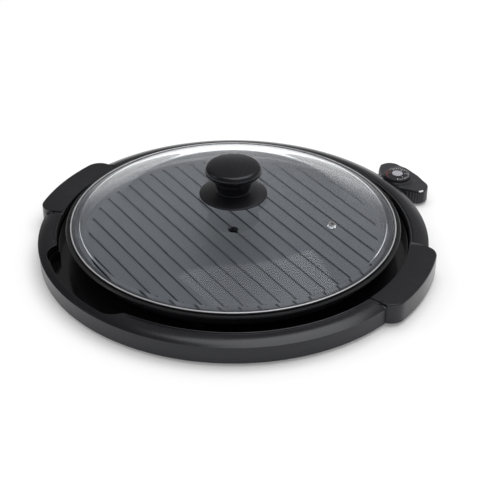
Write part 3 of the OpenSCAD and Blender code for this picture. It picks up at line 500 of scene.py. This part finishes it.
# %% [markdown]
# ## The room that is mirrored
# Black plastic and glass look like what they mirror. The world is white to the camera. In
# reflections it is bright low down behind the object, as the white sweep of a studio is, and dark
# above, as its ceiling is. A little more light on the right gives round forms a side.

# %% World
world = bpy.data.worlds.new("studio")
bpy.context.scene.world = world
world.use_nodes = True
sky = Net(world.node_tree)
path = sky.node("ShaderNodeLightPath")
ray = sky.node("ShaderNodeSeparateXYZ", {}, {0: sky.node("ShaderNodeTexCoord")["Generated"]})
right_side = ray["X"] * math.cos(camera_right) + ray["Y"] * math.sin(camera_right)
back_side = ray["X"] * -math.cos(camera_turn) + ray["Y"] * -math.sin(camera_turn)
low_down = sky.fade(ray["Z"], 0.0, 0.45, 1.0, 0.0)
behind = sky.fade(back_side, 0.86, 0.99, 0.22, 0.9)
dark_ceiling, side_gain, fill = 0.24, 0.18, 0.60
shown = path["Is Camera Ray"]
mirrored = path["Is Glossy Ray"] * (low_down * behind + dark_ceiling + right_side * side_gain)
passed = path["Is Transmission Ray"]
around = (1 - shown) * (1 - path["Is Glossy Ray"]) * (1 - passed) * fill
background = world.node_tree.nodes["Background"]
background.inputs["Color"].default_value = (1, 1, 1, 1)
sky.plug(background.inputs["Strength"], shown + mirrored + passed + around)
bpy.context.scene.view_settings.view_transform = "Standard"
print("world", world.name)

# %% [markdown]
# ## Two soft lamps
# A wide lamp above and behind gives the ring and the knob their long highlights and the floor its
# shadow. A weak one on the left lifts the grip there. Both are placed from where the camera
# stands, because that is how a photographer places them.

# %% Lamps
def soft_lamp(name, side, near, height, size, watts):
    """Stands so far to the camera's right and towards the camera, and looks at the grill."""
    data = bpy.data.lights.new(name, "AREA")
    data.shape, data.size, data.size_y, data.energy = "RECTANGLE", size, size, watts
    lamp = bpy.data.objects.new(name, data)
    bpy.context.scene.collection.objects.link(lamp)
    right = Vector((math.cos(camera_right), math.sin(camera_right), 0))
    front = Vector((math.cos(camera_turn), math.sin(camera_turn), 0))
    lamp.location = right * side + front * near + Vector((0, 0, height))
    target = Vector((0, 0, 0.02))
    lamp.rotation_euler = (target - lamp.location).to_track_quat("-Z", "Y").to_euler()


soft_lamp("top_lamp", 0.32, -0.2, 1.6, size=1.3, watts=13)
soft_lamp("left_lamp", -1.3, 0.0, 0.95, size=0.6, watts=1.5)
print("lamps placed")

# %% [markdown]
# ## Finishes on the parts as packed
# Parts whose CAD shape is right keep it and only get their finish.

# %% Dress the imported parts
dress = {
    "base_pan": base_plastic, "rubber_feet": rubber, "housing_ring": ring_plastic,
    "housing_screws": screw_steel, "drip_tray": tray_enamel, "grill_plate": plate_coating,
    "heating_element": sheath_steel, "terminal_insulators": insulator,
    "terminal_pins": pin_metal, "terminal_bracket": strap_steel,
    "bracket_screws": screw_steel, "element_clips": strap_steel, "clip_screws": screw_steel,
    "plate_legs": leg_plastic, "plate_leg_screws": screw_steel, "lid_glass": lid_glass,
    "lid_rim_band": band_steel, "steam_vent_eyelet": eyelet_steel,
    "knob_outer_gasket": gasket_rubber, "knob_heat_shield": shield_plastic,
    "lid_knob": knob_plastic, "knob_inner_gasket": gasket_rubber, "knob_washer": screw_steel,
    "knob_screw": screw_steel, "control_lower_cover": control_plastic,
    "control_upper_cover": control_plastic, "control_screws": screw_steel,
    "contact_sleeves": contact_brass, "probe_rod": probe_steel,
    "thermostat_block": block_phenolic, "thermostat_blades": contact_brass,
    "indicator_lens": lens_clear, "indicator_lamp": lamp_glass, "cord_gland": rubber,
    "dial_shaft": screw_steel, "control_dial": dial_plastic, "dial_face": dial_silver,
}
for name, finish in dress.items():
    part = nodes[name].data
    part.materials.clear()
    part.materials.append(finish.material)
print("dressed", len(dress), "of", len(nodes))

# %% [markdown]
# ## The housing ring
# The ring is one moulding: it falls outward in a soft arc, has a bead and a fine groove round the
# opening, a skirt that goes down into it, and a scoop for the hand opposite the control. A plain
# turning can't hold the scoop, so the ring is lofted: at each direction the section is computed
# from the opening's radius there, and the sections are joined.

# %% How the ring changes round its axis
CONTROL_AT, SCOOP_AT, GRIPS_AT = 59, 240, (0, 180)
WELL, SCOOP, SCOOP_HALF = 193, 206.0, 17
CORNER_AT, CORNER, CORNER_HALF = 186, 20, 6.17
TOP, FALL_FROM, FALL = 27.2, 200, 27.08


def away_from(angle, middle):
    return abs((angle - middle + 180) % 360 - 180)


def well_radius(angle):
    """The opening is round, and wider in the scoop, whose ends are arcs of their own."""
    beyond = away_from(angle, SCOOP_AT) - SCOOP_HALF
    if beyond <= 0:
        return SCOOP
    reach = CORNER_AT - WELL
    if beyond < CORNER_HALF:
        a = math.radians(beyond)
        reach = CORNER_AT * math.cos(a) - WELL + math.sqrt(
            CORNER ** 2 - (CORNER_AT * math.sin(a)) ** 2)
    return WELL + 0.5 * (reach + math.sqrt(reach * reach + 0.6))


def bead_height(angle):
    """The bead ends before the grips and the scoop."""
    free = min(away_from(angle, middle) - reach
               for middle, reach in ((0, 17.5), (180, 17.5), (SCOOP_AT, 24.5)))
    return soft(free / 1.3)


def end_groove(angle):
    """How far the ring's top dips in the narrow groove beside a grip."""
    away = min(abs(away_from(angle, middle) - 17.3) for middle in GRIPS_AT)
    return 1.1 * math.exp(-(away / 0.3) ** 2)


def crest(r):
    if r <= FALL_FROM:
        return TOP
    return TOP - FALL + math.sqrt(FALL ** 2 - (r - FALL_FROM) ** 2)


print("opening", well_radius(0), "in the scoop", well_radius(SCOOP_AT))

# %% [markdown]
# The loft needs a section at every degree, and closer ones where the ring changes quickly: at the
# scoop's ends, beside the grips, and where the skirt steps up over the plug.

# %% Directions of the sections
PLUG_HALF = 6.69
directions = sorted(set(
    [float(a) for a in range(360)]
    + [round(SCOOP_AT + s * (16.8 + 0.12 * k), 2) for s in (-1, 1) for k in range(58)]
    + [round(m + s * (16.8 + 0.1 * k), 2) % 360 for m in GRIPS_AT for s in (-1, 1)
       for k in range(20)]
    + [CONTROL_AT + s * (PLUG_HALF + d) for s in (-1, 1) for d in (-0.01, 0.01)]))
print("directions", len(directions))

# %% [markdown]
# A section starts at the skirt's foot, goes up the opening's wall and over the edge, follows the
# top to the outer lip, and comes back underneath. The edge is a short list of steps outward, each
# with its height where the bead runs and where it doesn't.

# %% The ring's section
EDGE = [(0, -1.6, -1.6), (0.05, -1.0, -0.9), (0.25, -0.35, -0.38), (0.55, 0.25, -0.12),
        (0.95, 0.55, -0.02), (1.5, 0.65, 0), (2.05, 0.52, 0), (2.45, 0.2, 0), (2.75, -0.3, 0),
        (3.0, -0.6, 0), (3.2, -0.74, 0), (3.4, -0.8, 0), (3.6, -0.74, 0), (3.8, -0.6, 0),
        (4.1, -0.25, 0), (4.35, -0.05, 0), (4.8, 0, 0)]
UNDER = [(208.4, 23.2), (208.4, 18.3), (206.4, 18.3), (206.2, 23.9), (200.5, 24.8), (0, 24.8)]
FOOT, FOOT_AT_PLUG, SKIRT, LIP = 13.5, 21.5, 2.4, 213.9


def ring_section(angle):
    well, bead, dip = well_radius(angle), bead_height(angle), end_groove(angle)
    foot = FOOT_AT_PLUG if abs(angle - CONTROL_AT) < PLUG_HALF else FOOT
    part = [(well, foot + 0.5)]
    part += [(well + u, crest(well + u) + bead * up + (1 - bead) * plain - dip)
             for u, up, plain in EDGE]
    part += [(r, crest(r) - dip * min(1, (LIP - r) / 3))
             for r in line(well + EDGE[-1][0], 213.4, 13)[1:]]
    part += [(213.8, 23.48), (213.93, 23.4), (213.92, 23.33), (213.7, 23.3), (208.6, 23.3)]
    wall, scoop = well + SKIRT, soft((well - 196) / 6)
    for r, z in UNDER:
        z = max(foot, z)
        part.append((max(r, wall) * (1 - scoop) + wall * scoop, z * (1 - scoop) + 23.2 * scoop))
    return part + [(wall, foot + 0.4), (wall - 0.5, foot), (well + 0.5, foot)]


mesh = bmesh.new()
rows = [ring_of(ring_section(angle), math.radians(angle)) for angle in directions]
loft(mesh, rows, around=True, along=True)
ring = finish_mesh(mesh, "moulded_ring", ring_plastic, "base", ["housing_ring"], sharp=52)
print("ring faces", len(ring.data.polygons))

# %% [markdown]
# ## The grips
# Each grip is a thin shell with a flat top, a rounded outer edge, tall side walls and soft corners,
# open below and stiffened by ribs. It is stacked from outlines: each lower outline is a little
# larger until the wall is reached.

# %% Outline of a grip at one height
GRIP_OUT, GRIP_TOP, GRIP_HALF, GRIP_CORNER = 224, 27.7, 17, 17
INNER = [193.0, 196.5, 200, 203, 206]


def grip_outline(out, end, start):
    """Points from one end to the other; out and end are how far the edge is drawn in there."""
    half, corner = math.radians(GRIP_HALF), GRIP_CORNER - (out + end) / 2
    d = GRIP_OUT - out - corner
    lean = math.asin((corner + end) / d)
    side = [(r * math.cos(half) + end * math.sin(half), r * math.sin(half) - end * math.cos(half))
            for r in start]
    turn = math.degrees(half - lean)
    cx, cy = d * math.cos(half - lean), d * math.sin(half - lean)
    side += arc(cx, cy, corner, GRIP_HALF + 90, turn, 14)
    outer = arc(0, 0, GRIP_OUT - out, turn, -turn, 40)[1:-1]
    return side + outer + [(x, -y) for x, y in reversed(side)]


print("grip outline points", len(grip_outline(0, 0, INNER)))

# %% [markdown]
# The top outlines go all round, also along the ring. Below them the shell is open towards the
# ring, so the lower outlines leave out the first and last points. A solidify modifier gives the
# wall its thickness, and the normals are weighted by area so that the flat top stays flat in
# reflections.

# %% The grips' shells
OUTER = 4
EDGE_OUT, EDGE_END, GAP = 1.6, 0.8, 0.06
drops = [0, 0.05, 0.15, 0.3, 0.5, 0.8, 1.2, 1.6, 2.4]
lower = [(3.2, 0), (14, 0), (22.9, 0), (23.4, 0.15), (23.7, 0.5)]


def drawn_in(radius, drop):
    return radius - math.sqrt(radius ** 2 - (radius - min(drop, radius)) ** 2)


def grip(name, turn):
    mesh = bmesh.new()
    rows = []
    for drop in drops:
        out, end = GAP + drawn_in(EDGE_OUT, drop), drawn_in(EDGE_END, drop)
        points = grip_outline(out, end, [INNER[0] + end] + INNER[1:])
        a = GRIP_HALF - math.degrees(end / INNER[0])
        points += arc(0, 0, INNER[0] + 0.05 + end, -a, a, 24)[1:-1]
        rows.append([(x, y, GRIP_TOP - drop) for x, y in points])
    made = loft(mesh, rows, around=True)
    mesh.faces.new(list(reversed(made[0])))
    count = len(grip_outline(0, 0, INNER))
    last = made[-1][OUTER:count - OUTER]
    for drop, cut in lower:
        points = grip_outline(GAP + cut, cut, INNER)[OUTER:count - OUTER]
        row = [mesh.verts.new(Vector((x, y, GRIP_TOP - drop)) * MM) for x, y in points]
        for j in range(len(row) - 1):
            mesh.faces.new((last[j], last[j + 1], row[j + 1], row[j]))
        last = row
    piece = finish_mesh(mesh, name, ring_plastic, "base", sharp=40,
                        at=Matrix.Rotation(turn, 4, "Z"), faces_up=True)
    walled(piece, 2.4)
    piece.modifiers.new("flat", "WEIGHTED_NORMAL").keep_sharp = True
    return piece


for name, turn in (("grip_right", 0.0), ("grip_left", math.pi)):
    print(name, "faces", len(grip(name, turn).data.polygons))

# %% [markdown]
# Three thin webs stand under each grip. They are boxes, turned to the grip's middle, with their
# long edges broken.

# %% Ribs inside the grips
RIB_SIZE, RIB_AT = (0.0094, 0.0018, 0.0112), (0.2183, 0, 0.0201)
mesh = bmesh.new()
for middle in GRIPS_AT:
    for lean in (-8, 0, 8):
        place = (Matrix.Rotation(math.radians(middle + lean), 4, "Z")
                 @ Matrix.Translation(RIB_AT) @ Matrix.Diagonal((*RIB_SIZE, 1)))
        bmesh.ops.create_cube(mesh, size=1.0, matrix=place)
edges = [e for e in mesh.edges if abs((e.verts[0].co - e.verts[1].co).z) < 1e-5]
bmesh.ops.bevel(mesh, geom=edges, offset=0.0003, segments=2, affect="EDGES")
ribs = finish_mesh(mesh, "grip_ribs", ring_plastic, "base")
print("rib faces", len(ribs.data.polygons))

# %% [markdown]
# ## The lid's rim
# The steel lip is rolled round the glass, so its edges are round, and a dark rubber seal lies under
# it; the seal's darkness is also painted shade for the recess below the lid's rim. Both are turned
# from a profile with rounded corners.

# %% Steel lip, and a dark seal that is also painted shade
lip = rounded([(176.55, 38.4), (177.98, 38.4), (177.98, 39.1), (177.6, 39.4), (176.9, 39.4),
               (176.55, 39.0)], [0.1, 0.3, 0.4, 0.5, 0.4, 0.3])
turned(lip, "steel_lip", band_steel, "lid", ["lid_rim_band"], 360)
# The dark seal is partly a rubber part and partly painted shade under the lid's rim.
seal = rounded([(172.1, 36.0), (177.3, 36.0), (177.7, 36.3), (177.7, 38.45), (177.0, 38.45),
                (176.95, 38.1), (172.1, 38.08)], [0.3, 0.3, 0.2, 0.05, 0.05, 0.05, 0.3])
turned(seal, "lip_seal_painted_shade", gasket_rubber, "lid", (), 360)
print("lip points", len(lip), "seal points", len(seal))

# %% [markdown]
# ## The glass
# The glass is a flat crown that bends down softly to the rim. It could be cut from a sphere, but
# the light on its shoulder shows the bend, so its height is a formula: a wide sphere, and outside
# it a fall that grows. The inner skin lies a wall's thickness below, square to the outer one, and
# the edge is ground flat. The steam vent's hole stands square to the glass.

# %% Glass dome
GLASS_TOP, CROWN, BEND_AT, BEND_FALL = 71.1, 697.8, 122, 10.2
SCREW_HOLE, GLASS_EDGE, GLASS_FOOT, GLASS_WALL = 3.5, 176.9, 38.1, 4.0
VENT_AT, VENT_TURN, VENT_HOLE = 115, 2, 3.25


def dome_height(r):
    beyond = max(0.0, r - BEND_AT) / (GLASS_EDGE - BEND_AT)
    return GLASS_TOP - CROWN + math.sqrt(CROWN ** 2 - r * r) - BEND_FALL * beyond ** 1.4


def dome_surface(depth):
    """Radii and heights of the dome's skin, or of its inner skin at a depth below it."""
    made = []
    for r in line(SCREW_HOLE, BEND_AT, 26) + line(BEND_AT, GLASS_EDGE, 34)[1:]:
        slope = (dome_height(r + 0.01) - dome_height(r - 0.01)) / 0.02
        long = math.hypot(1, slope)
        made.append((r + depth * slope / long, dome_height(r) - depth / long))
    return made


inside = [point for point in dome_surface(GLASS_WALL) if point[1] > GLASS_FOOT + 0.05]
dome = dome_surface(0.0) + [(inside[-1][0] + 0.2, GLASS_FOOT)] + inside[::-1]
dome_glass = turned(dome, "glass_dome", lid_glass, "lid", ["lid_glass"], 240)
lean = math.asin(VENT_AT / CROWN)
vent = Vector((math.sin(lean), 0, math.cos(lean)))
crown_middle = Vector((0, 0, GLASS_TOP - CROWN))
bored(dome_glass, [(vent * CROWN + crown_middle, vent, VENT_HOLE, 30)],
      Matrix.Rotation(math.radians(VENT_TURN), 4, "Z"))
print("dome points", len(dome), "slope at the rim", round(dome_height(176) - dome_height(175), 2))

# %% [markdown]
# ## The knob and its shield
# The knob is a turned shape with a waisted neck, a rolled cap edge and a faint crown. The arcs are
# drawn as arcs so that the highlight runs cleanly. A wide shield under it keeps the heat off.

# %% Knob and shield
KNOB_TOP, KNOB_WIDE, KNOB_RISE = 107.39, 26.2, 1.82
neck = rounded([(3.05, 75.5), (18.2, 75.5), (18.5, 76.3), (17.5, 77.8), (20.5, 87.8)],
               [0.0, 0.4, 0.5, 0.8, 0.0])[:-5] + [(20.5, 87.8)]
flare = arc(31.5, 87.8, 11, 180, 136, 8)[1:]
roll = arc(25.7, 100.4, 5.2, -112, 84, 18)
crown_r = (KNOB_WIDE ** 2 + KNOB_RISE ** 2) / (2 * KNOB_RISE)
crown = [(r, KNOB_TOP - crown_r + math.sqrt(crown_r ** 2 - r * r)) for r in (24, 20, 15, 10, 5, 0)]
knob = neck + flare + roll + crown + [(0, 91.5), (3.05, 91.4)]
turned(knob, "turned_knob", knob_plastic, "lid", ["lid_knob"], 192)
shield = rounded([(3.1, 72.1), (16.3, 72.1), (17.0, 71.5), (36.0, 70.8), (37.0, 71.1),
                  (37.0, 72.0), (36.2, 72.6), (28.0, 74.3), (18.5, 75.5), (3.1, 75.5)],
                 [0, 0.2, 0.2, 0.3, 0.4, 0.4, 0.5, 3.0, 0.8, 0])
turned(shield, "turned_shield", shield_plastic, "lid", ["knob_heat_shield"], 192)
print("knob points", len(knob), "shield points", len(shield))

# %% [markdown]
# ## The heat control
# The control is two moulded covers. Seen from above it is a rounded trapezoid. It is drawn along
# +X, as if it left the grill there, and is turned to its real direction as the mesh is finished.

# %% The body's outline
to_control = Matrix.Rotation(math.radians(CONTROL_AT), 4, "Z")
FACE, TAIL, WIDE, DIAL = 214.8, 251.77, 37.97, 229.0
SIDE_FROM = FACE + 19
corners = [(FACE, 13.5), (FACE + 13, WIDE - 5.5), (SIDE_FROM, WIDE)]
half = rounded([(FACE, -13.5)] + corners + [(TAIL - 13, WIDE)], [0, 2.5, 5, 4, 0], 6)[1:-1]
half += arc(TAIL - 13, WIDE - 13, 13, 90, 0, 14)
half = [p for p in half if p[1] > 0]
whole = half + [(x, -y) for x, y in reversed(half)]


def walk(points, step, fine, zone):
    """Points spread evenly along a closed outline, closer together inside the zone."""
    made = []
    for k, point in enumerate(points):
        a, b = Vector(point), Vector(points[(k + 1) % len(points)])
        count = max(1, round((b - a).length / (fine if zone(a) or zone(b) else step)))
        made += [a.lerp(b, i / count) for i in range(count)]
    return made


outline = walk(whole, 1.2, 0.25, lambda p: abs(p.y) > 27 and 222 < p.x < 241)
outward = []
for k, point in enumerate(outline):
    along = outline[(k + 1) % len(outline)] - outline[k - 1]
    side = Vector((along.y, -along.x)).normalized()
    outward.append(side if side.dot(point - Vector((DIAL, 0))) > 0 else -side)
print("outline points", len(outline))

# %% [markdown]
# A round stage under the dial rises from the level wings, and a low ridge runs from it to the
# tail. The upper cover is a net of spokes round the dial's axis, with its height computed at each
# point, closer together where the stage ends and where the edge is rounded.

# %% Upper cover
WINGS, RISE, STAGE_END, EDGE_ROUND, SEAM = 21.2, 2.6, 18.4, 2, 19.2


def cover_height(x, y):
    stage_up = 1 - soft((math.hypot(x - DIAL, y) - STAGE_END) / 1.5)
    ridge_up = (1 - soft((abs(y) - 8) / 18)) * soft((x - 232) / 12)
    return WINGS + RISE * max(stage_up, ridge_up)


mesh = bmesh.new()
rows = []
near = [3.2, 9, 14, 17.4, 18.1, 18.5, 18.8, 19.1, 19.4, 19.7, 20.1, 20.6]
for point in outline:
    spoke = point - Vector((DIAL, 0))
    reach, aim = spoke.length, spoke.normalized()
    scale = min(1.0, (reach - 2.4) / 21.4)
    places = [r * scale for r in near]
    places += line(max(21.4 * scale, 20.6 * scale + 0.1), reach - EDGE_ROUND, 9)
    row = []
    for r in places:
        x, y = DIAL + aim.x * r, aim.y * r
        row.append((x, y, cover_height(x, y)))
    for inset in (1.5, 1.0, 0.6, 0.3, 0.1, 0.0):
        x, y = DIAL + aim.x * (reach - inset), aim.y * (reach - inset)
        drop = EDGE_ROUND - math.sqrt(EDGE_ROUND ** 2 - (EDGE_ROUND - inset) ** 2)
        row.append((x, y, cover_height(x, y) - drop))
    row.append((DIAL + aim.x * reach, aim.y * reach, SEAM))
    rows.append(row)
loft(mesh, rows, along=True)
upper_cover = finish_mesh(mesh, "upper_cover", control_plastic, "control",
                          ["control_upper_cover"], sharp=60, at=to_control, faces_up=True)
walled(upper_cover, 1.8)
print("upper cover faces", len(upper_cover.data.polygons))

# %% [markdown]
# The lower cover is the same outline, stacked from the seam down to the floor, with finger ribs
# pressed out of its sides. The gland and the four case screws go through it.

# %% Lower cover with finger ribs
RIB_FROM, RIB_PITCH, RIB_LAST, RIB_DEEP = 223.4, 2.2, 7, 0.75
FLOOR, FLOOR_ROUND = 2.5, 1.5


def rib(point):
    place = (point.x - RIB_FROM) / RIB_PITCH
    if abs(point.y) < 24 or place < -0.4 or place > RIB_LAST + 0.4:
        return 0.0
    return RIB_DEEP * max(0.0, math.cos(math.pi * (place - round(place)))) ** 1.5


mesh = bmesh.new()
levels = [(18.55, 0.3, 0), (18.45, 0.08, 0), (18.25, 0, 0), (17.9, 0, 0.2), (17.4, 0, 1)]
levels += [(z, 0, 1) for z in line(16.6, 6.0, 6)] + [(4.8, 0, 0.8), (4.0, 0, 0.2)]
levels += [(FLOOR + FLOOR_ROUND * (1 - math.cos(math.radians(a))),
            FLOOR_ROUND * (1 - math.sin(math.radians(a))), 0) for a in (75, 55, 35, 15, 0)]
rows = [[tuple(p + n * (rib(p) * press - inset)) + (z,) for p, n in zip(outline, outward)]
        for z, inset, press in levels]
made = loft(mesh, rows, around=True)
mesh.faces.new(made[-1])
lower_cover = finish_mesh(mesh, "lower_cover", control_plastic, "control",
                          ["control_lower_cover"], sharp=60, at=to_control, faces_up=False)
walled(lower_cover, 1.8)
gland_bar = ((TAIL, 0, 10.2), (1, 0, 0), 4.75, 8)
screw_bars = [((x, y, FLOOR), (0, 0, 1), 2.75, 6)
              for x, y in ((243.8, 26), (243.8, -26), (228.3, 21.4), (228.3, -21.4))]
bored(lower_cover, [gland_bar] + screw_bars, to_control)
print("lower cover faces", len(lower_cover.data.polygons))

# %% [markdown]
# ## The plug
# The plug is halved along the pins' level, as the covers are. Each half is an extruded section
# with half-round channels for the two contact sleeves and for the probe.

# %% Plug halves
PIN_LEVEL, PIN_APART, PLUG_WIDE, PLUG_HIGH = 14.7, 14, 21, 5.28


def plug_half(name, up):
    channels = (arc(-PIN_APART, 0, 3.4, 180, 0, 16) + arc(0, 0, 3.05, 180, 0, 16)
                + arc(PIN_APART, 0, 3.4, 180, 0, 16))
    back = (arc(PLUG_WIDE - 1, PLUG_HIGH - 1, 1, 0, 90, 5)
            + arc(1 - PLUG_WIDE, PLUG_HIGH - 1, 1, 90, 180, 5))
    section = [(-PLUG_WIDE, 0.02)] + channels + [(PLUG_WIDE, 0.02)] + back
    mesh = bmesh.new()
    rows = [[(x, y * w, PIN_LEVEL + up * z * h) for y, z in section]
            for x, w, h in ((196.2, 0.99, 0.96), (196.5, 1, 1), (216.6, 1, 1))]
    made = loft(mesh, rows, around=True)
    mesh.faces.new(made[0])
    mesh.faces.new(made[-1])
    return finish_mesh(mesh, name, control_plastic, "control", sharp=30, at=to_control)


for name, up in (("plug_upper", 1), ("plug_lower", -1)):
    print(name, "faces", len(plug_half(name, up).data.polygons))

# %% [markdown]
# ## The indicator
# A small clear bar lies in the side between the covers and lights up while the plate heats. It is
# lofted from outlines that are nearly oblong, and its inner end follows the slanting side.

# %% Lens of the indicator
LENS_AT, LENS_LONG, LENS_HIGH = (235.2, -37.9, 19.75), 2.9, 0.85


def squared(value):
    """Pushes a sine or cosine outward, so that a circle becomes nearly oblong."""
    return math.copysign(abs(value) ** 0.5, value)


mesh = bmesh.new()
rows = []
for depth, grow in ((-1.2, 1.0), (0.15, 1.0), (0.45, 0.9), (0.6, 0.7)):
    row = []
    for k in range(24):
        a = 2 * math.pi * k / 24
        x = LENS_AT[0] + LENS_LONG * grow * squared(math.cos(a))
        z = LENS_AT[2] + LENS_HIGH * grow * squared(math.sin(a))
        row.append((x, LENS_AT[1] - depth + max(0.0, SIDE_FROM - x) * 0.9, z))
    rows.append(row)
made = loft(mesh, rows, around=True)
mesh.faces.new(made[-1])
mesh.faces.new(made[0])
lens = finish_mesh(mesh, "lens_bar", lens_clear, "control", ["indicator_lens"], at=to_control)
print("lens faces", len(lens.data.polygons))

# %% [markdown]
# ## The dial
# The dial has a ribbed rim for the fingers, a sloping scale ring with light marks and numbers, and
# a silver cap. The rim's ribs change the profile with the direction, so the dial is lofted from
# profiles, while the cap is plainly turned.

# %% Dial body and silver cap
DIAL_STEPS, DIAL_RIBS = 240, 30
dial_at = to_control @ Matrix.Translation((DIAL * MM, 0, 0))
mesh = bmesh.new()
rows = []
for k in range(DIAL_STEPS):
    a = 2 * math.pi * k / DIAL_STEPS
    cut = 0.35 * max(0.0, math.cos(DIAL_RIBS * a)) ** 2
    profile = [(3.1, 24.3), (14.6, 24.2), (15.4 - cut, 24.5), (15.5 - cut, 25.0),
               (15.5 - cut, 26.2), (15.2 - cut, 26.8), (14.7, 27.0), (14.2, 27.02),
               (7.4, 27.9), (6.9, 27.95), (6.7, 27.85), (6.5, 27.4), (3.1, 27.4)]
    rows.append(ring_of(profile, a))
loft(mesh, rows, around=True, along=True)
finish_mesh(mesh, "ribbed_dial", dial_plastic, "dial", ["control_dial"], at=dial_at)
cap = [(0, 27.45), (6.2, 27.45), (6.3, 27.6), (6.3, 28.0), (6.0, 28.25), (5.4, 28.33),
       (3.0, 28.39), (0, 28.4)]
turned(cap, "silver_cap", dial_silver, "dial", ["dial_face"], 96, at=dial_at)
print("dial rows", len(rows))

# %% [markdown]
# The marks lie on the slope of the scale ring, so each is placed at its own direction round the
# axis and at the slope's height. They are thin strips that stand a hair proud of the plastic,
# light for most of the scale and red at its hot end.

# %% Marks of the scale
MARKS, HOT_FROM, SCALE_TURN, SCALE_START = 28, 20, 320, -126
MARK_SIDE, MARK_END = 0.34, 13.9
scale_paint = moulded("scale_paint", (0.62, 0.62, 0.65), 0.5)
scale_red = moulded("scale_red", (0.42, 0.10, 0.08), 0.5)


def slope_height(r):
    return 27.02 + (14.2 - r) * 0.73 / 5.6


def scale_angle(step):
    return math.radians(step * SCALE_TURN / MARKS + SCALE_START)


for name, paint, first, last in (("scale_marks", scale_paint, 0, HOT_FROM),
                                 ("hot_marks", scale_red, HOT_FROM, MARKS)):
    mesh = bmesh.new()
    for k in range(first, last):
        inner = 11.6 if k % 4 == 0 else 12.5
        turn = Matrix.Rotation(scale_angle(k), 3, "Z")
        rows = [[turn @ Vector((r, side, slope_height(r) + lift))
                 for side in (-MARK_SIDE, MARK_SIDE)]
                for r, lift in ((inner, -0.05), (inner, 0.06), (MARK_END, 0.06), (MARK_END, -0.05))]
        loft(mesh, rows)
    marks = finish_mesh(mesh, name, paint, "dial", at=dial_at)
    print(name, "faces", len(marks.data.polygons))

# %% [markdown]
# The numbers are text with a little thickness. Each stands on the slope with its foot towards the
# axis, tilted as the slope is.

# %% Numbers of the scale
NUMBER_R, NUMBER_HIGH = 9.6, 3.9
for number in range(1, 6):
    a = scale_angle(number * 5 - 2)
    name = "number_%d" % number
    words = bpy.data.curves.new(name, "FONT")
    words.body, words.size, words.extrude = str(number), NUMBER_HIGH * MM, 0.05 * MM
    words.align_x, words.align_y = "CENTER", "CENTER"
    words.materials.append((scale_red if number > 4 else scale_paint).material)
    figure = bpy.data.objects.new(name, words)
    bpy.context.scene.collection.objects.link(figure)
    place = (NUMBER_R * math.cos(a) * MM, NUMBER_R * math.sin(a) * MM,
             (slope_height(NUMBER_R) + 0.04) * MM)
    figure.matrix_world = (dial_at @ Matrix.Translation(place)
                           @ Matrix.Rotation(a - math.pi / 2, 4, "Z")
                           @ Matrix.Rotation(math.radians(-7.4), 4, "X"))
    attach(figure, "dial")
print("numbers", number)

# %% [markdown]
# ## The end
# The view layer is brought up to date once more.

# %% The end
bpy.context.view_layer.update()
